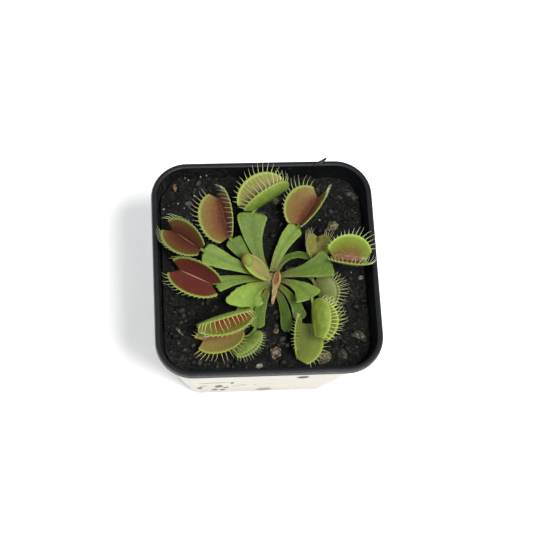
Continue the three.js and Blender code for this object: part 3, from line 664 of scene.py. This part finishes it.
def blade(bm, at, along, across, thickness, ahead_of=lambda u: u, spread=lambda v: v):
    """A closed blade round the surface at(u, v), which keeps u, v and its upper face at each corner."""
    keep_u, keep_v, keep_face = kept_on(bm, "u", "v", "face")
    first = len(bm.faces)
    made = bmesh.ops.create_grid(bm, x_segments=along, y_segments=across, size=0.5)["verts"]
    for vert in made:
        vert[keep_u] = ahead_of(vert.co.x + 0.5)
        vert[keep_v] = spread(2 * vert.co.y)
    bm.faces.ensure_lookup_table()
    under = bm.faces[first:]
    upper = bmesh.ops.extrude_face_region(bm, geom=under, use_keep_orig=True)["geom"]
    for vert in (g for g in upper if isinstance(g, bmesh.types.BMVert)):
        vert[keep_face] = 1
        made.append(vert)
    for vert in made:
        u, v = vert[keep_u], vert[keep_v]
        side = 0.5 if vert[keep_face] else -0.5
        vert.co = at(u, v) + square_to(at, u, v) * side * thickness(u, v, side)
    bm.faces.ensure_lookup_table()
    bmesh.ops.recalc_face_normals(bm, faces=bm.faces[first:])


# tier, heading of root and end, reach, rise, bow, width at root and end, spread, shoulder, skew, young or
# old, how bright from 0 to 1, and how ragged the right edge is
STALKS = {
    "east": (1, 22, 12, 22.2, 10, -1, 1.9, 12, 1.45, 0.13, -0.22, "young", 0.26, 0.06),
    "east_low": (0, 60, 24.4, 18.4, 2.6, 4, 2.2, 2.8, 1, 0.3, 0, "old", 0.2, 0.05),
    "north_east": (1, 78, 61, 22.4, 5.8, 1, 2.3, 7, 1, 0.15, 0.06, "young", 0.62, 0.08),
    "north": (1, 118, 105.1, 25.2, 10, 2, 2.1, 12.9, 1.4, 0.14, 0, "young", 0.32, 0.05),
    "north_west": (0, 136, 135, 21.1, 6, 0.8, 2.3, 7.5, 1.4, 0.1, -0.2, "young", 0.32, 0.05),
    "west": (1, 153, 160.6, 27, 11, 0.5, 2.3, 10.4, 1.45, 0.14, 0.16, "young", 0.55, 0.07),
    "west_low": (0, 172, -174.4, 21.6, 5, -0.8, 1.9, 6.9, 1.5, 0.08, 0.17, "old", 0.5, 0.05),
    "south_west": (1, -128, -121, 15.6, 10, -1.7, 2.4, 16.4, 1.3, 0.22, -0.48, "young", 0.92, 0.09),
    "south_west_low": (0, -144, -120.5, 21, 4, -1.6, 2.2, 7.6, 1, 0.17, -0.4, "old", 0.48, 0.06),
    "south_low": (0, -110, -109.8, 20.2, 2.6, -0.7, 2.2, 6, 1, 0.14, 0.1, "old", 0.3, 0.05),
    "south": (0, -66, -78.3, 21.6, 3, 1.1, 2.2, 5.1, 1, 0.3, 0.1, "old", 0.0, 0.05),
    "south_east": (1, -50, -58.8, 19.2, 3.6, 1.5, 1.9, 5.7, 1.4, 0.14, 0, "old", 0.15, 0.05),
    "east_south_east": (1, -14, -37, 17.6, 10.6, 1.3, 1.8, 11.8, 1.7, 0.13, -0.15, "young", 0.55, 0.2),
    "east_south_east_low": (0, 10, -2, 15.6, 3, 3.4, 1.8, 2.2, 1, 0.13, 0, "old", 0.35, 0.05),
}


def stalk_surface(name):
    """The middle surface of a stalk: u runs from the crown outwards, v from its right to its left edge."""
    (tier, root_way, end_way, reach, rise, bow,
     root, width, spread, shoulder, skew, _, _, ragged) = STALKS[name]
    start = crown_at(STALK_START[tier]) + way(root_way) * (CROWN_RADIUS + GAP)
    end = crown_at(rise) + way(end_way) * reach
    left = UP.cross(Vector((end.x - start.x, end.y - start.y, 0)).normalized())
    middle = start.lerp(end, 0.5) + left * 2 * bow + UP * 1.2

    def at(u, v):
        point, ahead = bezier(start, middle, end, u)
        side = UP.cross(ahead).normalized()
        face = ahead.cross(side)
        late = max(0, (u - 1 + shoulder) / shoulder)
        half = (root + (width - root) * max(u, 0) ** spread) / 2 * math.sqrt(1 - 0.9 * min(late, 1) ** 3.4)
        sign = (v > 0) - (v < 0)
        aside = half * v * (1 + sign * skew)
        nicks = noise.noise(Vector((5 * u, 3 * sign, end_way)))
        nicks += 0.5 * noise.noise(Vector((17 * u, 3 * sign, end_way)))
        aside *= 1 + (ragged if sign < 0 else min(ragged, LEFT_RAGGED)) * nicks * v * v
        wave = 0.3 * u * v * v * math.sin(9 * u + 2 * sign + end_way)
        wave += 0.16 * u * abs(v) ** 3 * math.sin(21 * u + 5 * sign + aside)
        groove = -GROOVE * ridge(v, 0.07) * min(1, half / 2)
        return point + side * aside + face * (0.12 * abs(aside) + wave + groove)

    return at


def stalk_thickness(u, v, side):
    """Thin at the edges, with a midrib on the under side that fades outwards."""
    rib = RIB * ridge(v, 0.12) * (1 - 0.4 * u) if side < 0 else 0
    return STALK_THICKNESS * round_edge(v, 0.42, 7) + rib


leaf = Finish("leaf_skin")
leaf_u, leaf_v, leaf_face, leaf_shade = (leaf.kept(n) for n in ("u", "v", "face", "shade"))
leaf_across = abs(leaf_v)
leaf_mottle, leaf_fine = leaf.cloud(4.5, 3), leaf.cloud(1.3, 4, 0.65)
leaf_vein = ((leaf_v * 40 + (leaf_mottle - 0.5) * 5).sine() * 0.5 + 0.5) ** 3
leaf_tone = leaf.coats(
    leaf.mix(leaf_shade, rgb(46, 65, 21), rgb(113, 135, 58)),
    (leaf_mottle.rise(0.35, 0.7) * 0.35, rgb(62, 86, 26)),
    (leaf_fine.rise(0.45, 0.7) * (0.08 + 0.3 * leaf_shade), rgb(128, 148, 66)),
    (leaf_u.rise(0.45, 0.02) * 0.75, rgb(98, 92, 50)),  # the root end
    (leaf_vein * 0.06, rgb(50, 70, 22)),
    # painted shade along the groove in the middle of the stalk
    ((1 - leaf_across.rise(0.02, 0.45)) * 0.3, rgb(60, 74, 28)),  # the middle
    (leaf_across.rise(0.75, 1.0) * 0.3, rgb(122, 138, 68)),  # the edges
    (leaf.cloud(0.5, 2).rise(0.68, 0.74) * 0.3, rgb(58, 56, 26)),  # small dark specks
    ((1 - leaf_face) * 0.7, rgb(92, 108, 54)))  # the under side
LEAF_FLESH = {"Subsurface_Weight": 0.12, "Subsurface_Scale": 0.002}
leaf_skin = leaf.done(
    Base_Color=leaf_tone, Roughness=0.22 + 0.25 * leaf_fine, Specular_IOR_Level=0.13,
    **LEAF_FLESH, Subsurface_Radius=(0.5, 0.9, 0.2),
    Normal=leaf.bump(leaf_vein * 0.25 + leaf_fine, 0.28))
for name, (*_, age, shade, _) in STALKS.items():
    stalk = leaf_mesh()
    # the mesh is closer together at the far end and at the edges, and starts inside the crown
    blade(stalk, stalk_surface(name), along=52, across=22, thickness=stalk_thickness,
          ahead_of=lambda t: -0.04 + 1.04 * (1 - (1 - t) ** 1.5),
          spread=lambda s: math.copysign(abs(s) ** 0.8, s))
    keep_shade, = kept_on(stalk, "shade")
    for vert in stalk.verts:
        vert[keep_shade] = shade
    piece(name + "_stalk", stalk, [leaf_skin], "leaf" if age == "young" else "old_leaf", ["stalk_" + name])

crown = bmesh.new()
bmesh.ops.create_uvsphere(crown, u_segments=40, v_segments=24, radius=1)
for vert in crown.verts:
    p = vert.co.copy()
    ribbed = 1 + 0.06 * math.sin(7 * math.atan2(p.y, p.x)) * (1 - abs(p.z))
    vert.co = CROWN + Vector((p.x * CROWN_RADIUS * ribbed, p.y * CROWN_RADIUS * ribbed,
                              p.z * (CROWN_RISE if p.z > 0 else CROWN_DEPTH)))
crown_finish = Finish("crown_skin")
crown_streak = crown_finish.cloud(1.4, 3)
crown_tone = crown_finish.mix(crown_streak, rgb(83, 87, 41), rgb(124, 123, 75))
piece("leaf_crown", crown, [crown_finish.done(
    Base_Color=crown_tone, Roughness=0.5 + 0.2 * crown_streak,
    Normal=crown_finish.bump(crown_streak, 0.2))], "leaf", ["crown"])

# ---------------------------------------------------------------- traps
# Each trap is two waxy lobes on one hinge, green outside, with coloured glands inside a green rim. A row of
# long teeth stands on each margin, rooted in small scallops. A short neck joins it to its stalk.

LOBE_THICKNESS, HINGE_THICKNESS, NECK_RADIUS = 0.66, 1.2, 0.62
TEETH_PER_LOBE, TOOTH_LENGTH, TOOTH_SINK = 15, 4.6, 0.3
SCALLOP, SCALLOP_BAND = 0.42, 0.14

# heading and pitch of the hinge, lean of the mouth, gape and curl of the right and the left lobe, length,
# depth, shift, span, bow, how far the right and left teeth bend in, and their lengths. Where the lobes
# differ, depth, shift and span are pairs too.
TRAPS = {
    "east": (-4, -8, -9, (35, 37), (2, 5), 12.5, 10.4, -0.8, 1.5, 7, (0.6, 0.3), (0.94, 0.94)),
    "east_low": (84, 8, 2, (38, 42), (-6, -6), 8.5, 7.6, 0.4, 1.2, 12, (0.1, 0.1), (0.8, 0.8)),
    "north_east": (54.6, -4, -23, (42, 43), (2, 5), 13.3, 10.5, -0.3, 1.5, 4, (0.15, 0.65), (1, 1.1)),
    "north": (32.7, 1, -35, (30, 33), (0, 0), 16, 11.2, -2.4, 1.4, 6, (0.55, 0.55), (1, 1)),
    "north_west": (99, -6, -37, (43, 44), (11, 8), 16.5, 10.1, 0.1, 1.4, 5, (1.3, 0.6), (1, 1)),
    "west": (140, -7, -17, (29, 35), (13, 13), 12.6, 9.6, 0.8, 1.5, 8, (0.6, 0.7), (1, 1)),
    "west_low": (150.6, -8, -24, (48, 49), (-4, -6), 13.3, 9, -0.6, 1.75, 8, (0.8, 0.45), (0.8, 1)),
    "south_west": (-165, 0, -43, (26, 16), (-6, -1), 21.5, 9.8, 0, 1.08, 20, (0.6, 0.6), (1, 1)),
    "south_west_low": (-164, -3, 0, (50, 64), (0, 2), 15.9, (5, 8.3), 2, 1.2, 8, (0.3, 0.1),
                       (0.6, 1.15)),
    "south_low": (-138, -1, -70, (13, 11), (0, 0), 12, 6.2, -0.8, 1.25, 15, (0.2, 0.2), (0.6, 0.6)),
    "south_east": (-98, 4, -20, (42, 46), (-7, 0), 14.6, (6.6, 9.6), (-2.4, 1.5), (1.05, 1.2), 8, (0.3, 0.3),
                   (0.7, 0.9)),
    "east_south_east": (-90, 5, -50, (16, 19), (-5, -2), 14, 9.4, 1.4, 1.35, 18, (0.45, 0.45), (1, 1)),
    "east_south_east_low": (-72.6, 1, -55, (10, 9), (0, 0), 11.7, 8.5, -0.8, 1.3, 16, (0.3, 0.3), (1, 1)),
}


def trap_surface(name):
    """The stalk's end and its direction, the hinge's start and its direction, and the middle surface.

    U runs along the hinge, and v is 0 on the hinge, -1 on the right margin and 1 on the left.
    """
    turn, pitch, lean, gape, curl, length, depth, shift, span, bow, _, _ = TRAPS[name]
    depth, shift, span = (pair if isinstance(pair, tuple) else (pair, pair) for pair in (depth, shift, span))
    stalk = stalk_surface(name)
    end = stalk(1, 0)
    onward = (end - stalk(0.97, 0)).normalized()
    pitch, bow = math.radians(pitch), math.radians(bow)
    ahead = way(turn) * math.cos(pitch) + UP * math.sin(pitch)
    start = end + onward + ahead * 0.7
    mouth = Matrix.Rotation(math.radians(lean), 3, ahead) @ (UP - ahead * ahead.z).normalized()
    right = ahead.cross(mouth)
    radius = length / bow

    def at(u, v):
        out, lobe = abs(v), 0 if v < 0 else 1
        oval = math.pi * (0.1 + 0.8 * (1 - u))
        margin = length / 2 + shift[lobe] + length / 2 * span[lobe] * math.cos(oval)
        along = length * u * (1 - out) + margin * out
        scallop = SCALLOP * (0.5 + 0.5 * math.cos(2 * math.pi * (TEETH_PER_LOBE * u - 0.5)))
        scallop = scallop * max(0, out - (1 - SCALLOP_BAND)) / SCALLOP_BAND
        belly = 0.1 * depth[lobe] * math.sin(math.pi * out) * math.sin(oval)
        deep = depth[lobe] * math.sin(oval) ** 0.8 * out + scallop
        opened = math.radians(gape[lobe] + curl[lobe] * deep / depth[lobe] / 2) + belly / max(deep, 1.5)
        swing = bow * (along / length - 0.5)
        rise = radius - deep * math.cos(opened)
        return (start + ahead * (rise * math.sin(swing) + radius * math.sin(bow / 2))
                + mouth * (radius * math.cos(bow / 2) - rise * math.cos(swing))
                + right * ((-1 if lobe else 1) * deep * math.sin(opened)))

    return end, onward, start, ahead, at


def lobe_thickness(u, v, side):
    """Thin at the margin, and thicker outside the hinge."""
    hinge = (HINGE_THICKNESS - LOBE_THICKNESS) * 2 * ridge(v, 0.09) if side < 0 else 0
    return LOBE_THICKNESS * round_edge(v, 0.5, 8) + hinge


rod_template = bpy.data.meshes.new("rod_template")
rod_shape = bmesh.new()
bmesh.ops.create_cone(
    rod_shape, cap_ends=True, segments=6, radius1=1, radius2=1, depth=1,
    matrix=Matrix.Translation((0, 0, 0.5)))
for cut_height in (0.12, 0.3, 0.5, 0.75):  # closer together where a tooth flares to its foot
    bmesh.ops.bisect_plane(
        rod_shape, geom=rod_shape.verts[:] + rod_shape.edges[:] + rod_shape.faces[:],
        plane_co=(0, 0, cut_height), plane_no=UP)
rod_shape.to_mesh(rod_template)
rod_shape.free()


def bent_rod(bm, middle_at, wide_at, side, flat, u, v, tooth=1):
    """A tapered rod along middle_at(t), wide_at(t) giving its radius along side and along flat."""
    first = len(bm.verts)
    bm.from_mesh(rod_template)
    bm.verts.ensure_lookup_table()
    keep_u, keep_v, keep_face, keep_tooth = kept_on(bm, "u", "v", "face", "tooth")
    for vert in bm.verts[first:]:
        x, y, t = vert.co
        wide, thick = wide_at(t)
        vert.co = middle_at(t) + side * x * wide + flat * y * thick
        vert[keep_u], vert[keep_v], vert[keep_face], vert[keep_tooth] = u, v, 0, tooth * max(t, 0.02)


# how long the right and left teeth near the stalk are on traps that gape wide, beside those at the far end
NUBS = {"west": (0.5, 0.5), "west_low": (0.5, 0.55), "north_west": (1, 0.35), "north_east": (0.5, 0.4),
        "east": (0.8, 0.6)}
SPLAYED = ("south_east", 0)  # the trap and lobe whose teeth stand in pairs, one bent in and one out


def add_tooth(bm, at, u, v, length, bend, sway, stout):
    """One tooth, flared at its foot, which bends in over the lobe and sways along the margin."""
    foot = at(u, v)
    edge = (at(u + 0.01, v) - at(u - 0.01, v)).normalized()
    away = foot - at(u, 0.9 * v)
    away = (away - edge * away.dot(edge)).normalized()
    inward = square_to(at, u, v)

    def middle_at(t):
        return (foot - away * TOOTH_SINK + away * (length * t * (1 - 0.08 * t) + TOOTH_SINK * t)
                + inward * bend * length * t * (0.2 + 0.8 * t) + edge * sway * length * 0.4 * t * t)

    def wide_at(t):
        taper, flare = stout * (0.08 * (1 - t) ** 0.8 + 0.02), math.exp(-14 * t)
        return taper + 0.28 * flare, taper + 0.08 * flare

    bent_rod(bm, middle_at, wide_at, edge, inward, u, v)


def add_teeth(bm, name, at):
    """Both rows of teeth, longest in the middle of the margin."""
    turn, *_, bends, sizes = TRAPS[name]
    nubs = NUBS.get(name, (1, 1))
    for i in range(TEETH_PER_LOBE):
        u = (i + 0.5) / TEETH_PER_LOBE
        for lobe, v in ((0, -1), (1, 1)):
            size = sizes[lobe] * (0.9 + 0.2 * hash_at(i + turn))
            sway = 0.9 * (hash_at(3 * i + turn + 5 * v) - 0.5)
            for splay in (1, -1.2) if (name, lobe) == SPLAYED else (0,):
                bend = bends[lobe] + 0.3 * (hash_at(7 * i + v + turn) - 0.5) + splay
                length = TOOTH_LENGTH * size * (0.52 + 0.48 * math.sin(math.pi * u ** 1.4))
                length *= nubs[lobe] + (1.15 - nubs[lobe]) * min(1, max(0, (u - 0.35) / 0.3))
                length *= (0.6 if splay else 1) / max(1, math.hypot(0.92, bend))
                add_tooth(bm, at, u, v, length, bend, sway, 0.55 + 0.45 * size)


# colour of the glands, their dark patch near the hinge, where along the hinge that lies, its half length,
# how far out it reaches, colours of the rim, the outside and the teeth, how pale the hinge line is, how
# strong the stripes inside between the teeth are, and the slot
TRAP_TONES = {
    "east": (rgb(92, 108, 38), rgb(84, 46, 22), 0.42, 0.56, 1.05, rgb(117, 137, 58), rgb(97, 114, 46),
        rgb(190, 192, 148), 0, 0.05, "green_trap"),
    "east_low": (rgb(114, 113, 57), rgb(55, 25, 21), 1, 0.3, 0.4, rgb(110, 112, 63), rgb(99, 99, 55),
        rgb(172, 166, 120), 0, 0.1, "olive_trap"),
    "north_east": (rgb(96, 72, 37), rgb(82, 38, 24), 0.35, 0.8, 0.6, rgb(112, 122, 58), rgb(86, 102, 42),
        rgb(176, 178, 130), 0.3, 0.05, "orange_trap"),
    "north": (rgb(112, 112, 56), rgb(86, 56, 32), 0.5, 0.9, 0.9, rgb(113, 128, 58), rgb(88, 109, 40),
        rgb(184, 186, 128), 0, 0.5, "green_trap"),
    "north_west": (rgb(98, 70, 38), rgb(78, 34, 23), 0.45, 0.9, 0.65, rgb(112, 124, 58), rgb(83, 99, 40),
        rgb(172, 166, 140), 0.2, 0.05, "orange_trap"),
    "west": (rgb(84, 48, 30), rgb(56, 26, 19), 0.6, 0.8, 0.7, rgb(99, 112, 52), rgb(76, 92, 37),
        rgb(176, 178, 140), 0.4, 0.05, "red_trap"),
    "west_low": (rgb(81, 37, 29), rgb(68, 27, 23), 0.5, 1, 0.8, rgb(108, 122, 56), rgb(74, 92, 33),
        rgb(164, 172, 106), 0.7, 0.05, "red_trap"),
    "south_west": (rgb(100, 104, 42), rgb(104, 46, 24), 0.4, 0.42, 1.2, rgb(119, 133, 58), rgb(84, 106, 39),
        rgb(196, 198, 146), 0, 0.4, "red_trap"),
    "south_west_low": (rgb(107, 94, 51), rgb(99, 70, 40), 0.5, 1, 0.5, rgb(121, 122, 52), rgb(76, 90, 35),
        rgb(190, 184, 116), 0, 0.3, "tan_trap"),
    "south_low": (rgb(80, 90, 42), rgb(84, 96, 40), 0.5, 1, 0.5, rgb(106, 120, 58), rgb(78, 94, 40),
        rgb(150, 162, 104), 0, 0.05, "green_trap"),
    "south_east": (rgb(90, 104, 40), rgb(76, 84, 32), 0.4, 0.9, 0.9, rgb(113, 126, 54), rgb(102, 116, 46),
        rgb(180, 186, 118), 0, 0.1, "green_trap"),
    "east_south_east": (rgb(95, 104, 39), rgb(97, 88, 37), 0.5, 1, 0.6, rgb(124, 139, 59), rgb(92, 107, 37),
        rgb(184, 192, 126), 0, 0.25, "green_trap"),
    "east_south_east_low": (rgb(88, 90, 48), rgb(74, 46, 30), 0.5, 1, 0.4, rgb(101, 106, 59), rgb(88, 94, 49),
        rgb(164, 166, 116), 0, 0.1, "olive_trap"),
}


def trap_skin(name):
    """Coloured glands inside a narrow green rim, a waxy green outside, and pale teeth."""
    zone, heart, middle, half, reach, rim, outside, teeth, line, stripes, _ = TRAP_TONES[name]
    finish = Finish(name + "_trap_skin")
    u, v, face, tooth = (finish.kept(n) for n in ("u", "v", "face", "tooth"))
    across = abs(v)
    mottle, fine, glands = finish.cloud(2.6, 3), finish.cloud(0.8, 4, 0.7), finish.cells(0.55)
    along_patch = abs(u - middle) + (fine - 0.5) * 0.1
    out_patch = across + (mottle - 0.5) * 0.3
    patch = (1 - out_patch.rise(0, reach)) * (1 - along_patch.rise(half * 0.55, half))
    rays = ((u * (2 * math.pi * TEETH_PER_LOBE)).sine() * 0.5 + 0.5) ** 2
    edge = across + (fine - 0.5) * 0.05 + (2 * u - 1) ** 4 * 0.06
    inside = finish.coats(
        finish.mix(patch, zone, heart),
        ((1 - glands.rise(0.1, 0.4)) * 0.25, heart),
        (mottle.rise(0.4, 0.7) * 0.3, heart),
        (fine.rise(0.5, 0.7) * (0.3 - 0.4 * line), rim),
        ((1 - across.rise(0.012, 0.05)) * line, rgb(160, 122, 92)),
        (edge.rise(0.4, 0.95) * (0.7 - 0.9 * line), finish.mix(0.5, zone, rim)),
        (rays * across.rise(0.45, 0.8) * stripes, heart),
        (edge.rise(0.87, 0.95), rim))
    outer = finish.coats(
        outside,
        (mottle.rise(0.35, 0.7) * 0.6, rim),
        (fine.rise(0.5, 0.75) * 0.25, rgb(64, 76, 26)),
        (across.rise(0.75, 1.0) * 0.6, rim),
        (rays * across.rise(0.7, 1.0) * 0.1, teeth))
    tone = finish.coats(
        outer,
        (face, inside),
        (tooth.rise(0.0, 0.2), finish.mix(tooth.rise(0.03, 0.3), rim, teeth)))
    dimple = fine * 0.5 + (1 - glands.rise(0.1, 0.42)) * face * 0.5
    dimple = dimple + rays * across.rise(0.6, 1.0) * 0.2 + mottle
    return finish.done(
        Base_Color=tone, Roughness=0.24 + 0.2 * fine, Specular_IOR_Level=0.17,
        **LEAF_FLESH, Subsurface_Radius=(0.8, 0.8, 0.25), Normal=finish.bump(dimple, 0.12))


for name in TRAPS:
    end, onward, start, ahead, at = trap_surface(name)
    trap = leaf_mesh()
    blade(trap, at, along=60, across=26, thickness=lobe_thickness)
    add_teeth(trap, name, at)
    neck_side = UP.cross(ahead).normalized()
    neck = (end - onward * 0.8, ((end + onward * 1.1) + (start + ahead * 0.4)) / 2, at(0.14, 0))
    bent_rod(
        trap, lambda t: bezier(*neck, t)[0], lambda t: (NECK_RADIUS * (1.25 - 0.3 * t), NECK_RADIUS),
        neck_side, ahead.cross(neck_side), u=0.5, v=0.3, tooth=0)
    piece(name + "_trap", trap, [trap_skin(name)], TRAP_TONES[name][-1], ["trap_" + name])

# ---------------------------------------------------------------- young leaf
# The newest leaf, soft, pale green and still folded. It grows out of the crown, lies over it, and ends in a
# small closed trap with a reddish tip.

YOUNG_ROOT = crown_at(CROWN_RISE + 0.9) + Vector((-1.6, -1, 0))
YOUNG_TIP = Vector((-7.2, 2.2, SOIL_TOP + 9.6))
YOUNG_MIDDLE = YOUNG_ROOT.lerp(YOUNG_TIP, 0.5) + Vector((0, -0.6, 0.9))
BUD_OFFSET, BUD_LENGTH, BUD_WIDTH, BUD_HEIGHT = Vector((0, -0.5, 0.9)), 2.9, 2, 1.5
young_side = UP.cross(YOUNG_TIP - YOUNG_ROOT).normalized()


def young_at(u, v):
    """The middle surface of the folded leaf, which runs on into its bud."""
    point = bezier(YOUNG_ROOT, YOUNG_MIDDLE, YOUNG_TIP, 1.12 * u)[0]
    half = 0.7 + 2.9 * math.sin(math.pi * (0.06 + 0.84 * u)) ** 0.9
    return point + young_side * half * v * 0.9 + UP * (half * 0.5 * v * v - 0.3 * ridge(v, 0.2))


young = leaf_mesh()
blade(young, young_at, along=32, across=20,
      thickness=lambda u, v, side: STALK_THICKNESS * round_edge(v, 0.45, 7))
first_bud_vert = len(young.verts)
bmesh.ops.create_uvsphere(young, u_segments=36, v_segments=22, radius=1)
young.verts.ensure_lookup_table()
bud_turn = Matrix.Rotation(math.radians(106), 3, "Z") @ Matrix.Rotation(math.radians(-8), 3, "Y")
keep_u, keep_v, keep_bud = kept_on(young, "u", "v", "tooth")
for vert in young.verts[first_bud_vert:]:
    p = vert.co.copy()
    seam = 0.3 * ridge(p.y + 0.1, 0.13) * max(0, p.z)
    narrow = 1 - 0.3 * max(0, p.x) ** 2
    bud_point = Vector((BUD_LENGTH * p.x, BUD_WIDTH * p.y * narrow, BUD_HEIGHT * (p.z - seam) * narrow))
    vert.co = bud_turn @ bud_point + YOUNG_TIP + BUD_OFFSET
    vert[keep_u], vert[keep_v], vert[keep_bud] = 0.5 + 0.5 * p.x, p.y, 1
young_skin = Finish("young_leaf_bud")
y_u, y_v, y_bud = (young_skin.kept(n) for n in ("u", "v", "tooth"))
y_mottle, y_fine = young_skin.cloud(2.2, 3), young_skin.cloud(0.6, 3)
# painted shade: one side of the bud is darker olive; it also has a reddish tip and is greener at its root
bud_tone = young_skin.coats(
    young_skin.mix((y_v + (y_fine - 0.5) * 0.8).rise(-0.5, 0.7), rgb(104, 118, 44), rgb(92, 84, 38)),
    ((y_u + y_v * 0.15).rise(0.7, 0.92), rgb(104, 64, 32)),
    ((1 - y_u.rise(0.1, 0.4)) * 0.6, rgb(92, 104, 38)))
young_tone = young_skin.coats(
    young_skin.mix(y_u.rise(0.1, 0.9), rgb(108, 94, 58), rgb(120, 114, 68)),
    (y_mottle.rise(0.45, 0.75) * 0.4, rgb(108, 104, 54)),
    ((y_v + (y_mottle - 0.5) * 1.2).rise(0.2, 0.9), rgb(118, 132, 58)),
    ((0 - y_v + (y_mottle - 0.5) * 0.8).rise(0.2, 0.8), rgb(104, 108, 48)),
    ((0 - y_v).rise(0.85, 0.97) * 0.5, rgb(124, 110, 72)),
    (y_bud, bud_tone))
piece("young_leaf_fold", young, [young_skin.done(
    Base_Color=young_tone, Roughness=0.34 + 0.2 * y_fine, Specular_IOR_Level=0.15, **LEAF_FLESH,
    Normal=young_skin.bump(y_fine, 0.1))], "olive_trap", ["young_leaf"])

# ---------------------------------------------------------------- dried leaf
# A dead leaf, dry and papery, which lies over the crown: a brown folded sheath that narrows to a long tan
# sliver.

DRIED_KNOTS = [crown_at(CROWN_RISE + up) + Vector((x, y, 0)) for x, y, up in (
    (2.4, 2.2, 1.2), (1.9, -0.6, 0.9), (1, -4, 0.1), (0.5, -7, -1.4), (-0.2, -10, -2.4))]
DRIED_THICKNESS, DRIED_FOLD = 0.7, 0.35  # the fold's place off the middle, of half the width


def dried_spine(u):
    """A smooth curve through the knots."""
    last = len(DRIED_KNOTS) - 1
    i = min(int(u * last), last - 1)
    t = u * last - i
    a, b, c, d = (DRIED_KNOTS[max(0, min(last, i + k))] for k in (-1, 0, 1, 2))
    return 0.5 * (2 * b + (c - a) * t + (2 * a - 5 * b + 4 * c - d) * t * t
                  + (3 * b - a - 3 * c + d) * t ** 3)


def dried_at(u, v):
    """The middle surface: a creased sheath that turns into the sliver from u = 0.38 to 0.52."""
    sliver = min(1, max(0, (u - 0.38) / 0.14))
    sheath = 0.2 + 1.35 * math.sin(math.pi * min(1, 1.5 * u)) ** 1.1
    half = (1 - sliver) * sheath + sliver * 0.95 * (1 - 0.85 * u ** 5)
    ahead = (dried_spine(min(1, u + 0.01)) - dried_spine(max(0, u - 0.01))).normalized()
    fold = -0.1 * ridge(v + DRIED_FOLD, 0.2) * (1 - sliver)
    crease = 0.12 * math.sin(26 * u + 3 * v) * abs(v) + 0.1 * noise.noise(Vector((9 * u, 3 * v, 0)))
    aside = ahead.cross(UP).normalized() * half * v
    return dried_spine(u) + aside + UP * (0.45 * half * v * v + crease + fold)


dried = leaf_mesh()
blade(dried, dried_at, along=60, across=22,
      thickness=lambda u, v, side: DRIED_THICKNESS * round_edge(v, 0.4, 6))
papery = Finish("dried_leaf_skin")
d_u, d_v = papery.kept("u"), papery.kept("v")
streak = ((d_v * 22 + papery.cloud(2, 2) * 3).sine() * 0.5 + 0.5) ** 2
stain = papery.cloud(1.2, 4, 0.6)
# painted shade: the crease in the sheath is darkened nearly to black
crease_shade = (1 - abs(d_v + DRIED_FOLD).rise(0.12, 0.28)) * (1 - d_u.rise(0.3, 0.42))
papery_tone = papery.coats(
    papery.mix((0 - d_v).rise(0.45, 0.65), rgb(104, 66, 36), rgb(140, 114, 70)),
    (d_v.rise(0.75, 0.95) * 0.6, rgb(140, 114, 70)),
    (crease_shade * 0.95, rgb(30, 18, 13)),
    (d_u.rise(0.4, 0.5), rgb(140, 124, 80)),  # the sliver
    (d_u.rise(0.85, 0.95), rgb(126, 98, 62)),
    (stain.rise(0.45, 0.75) * 0.4, rgb(75, 46, 30)),
    (streak * 0.2, rgb(132, 112, 80)))
piece("dried_leaf_sliver", dried, [papery.done(
    Base_Color=papery_tone, Roughness=0.62 + 0.2 * stain, Specular_IOR_Level=0.25,
    Normal=papery.bump(streak + stain, 0.2))], "dried_leaf", ["dried_leaf"])
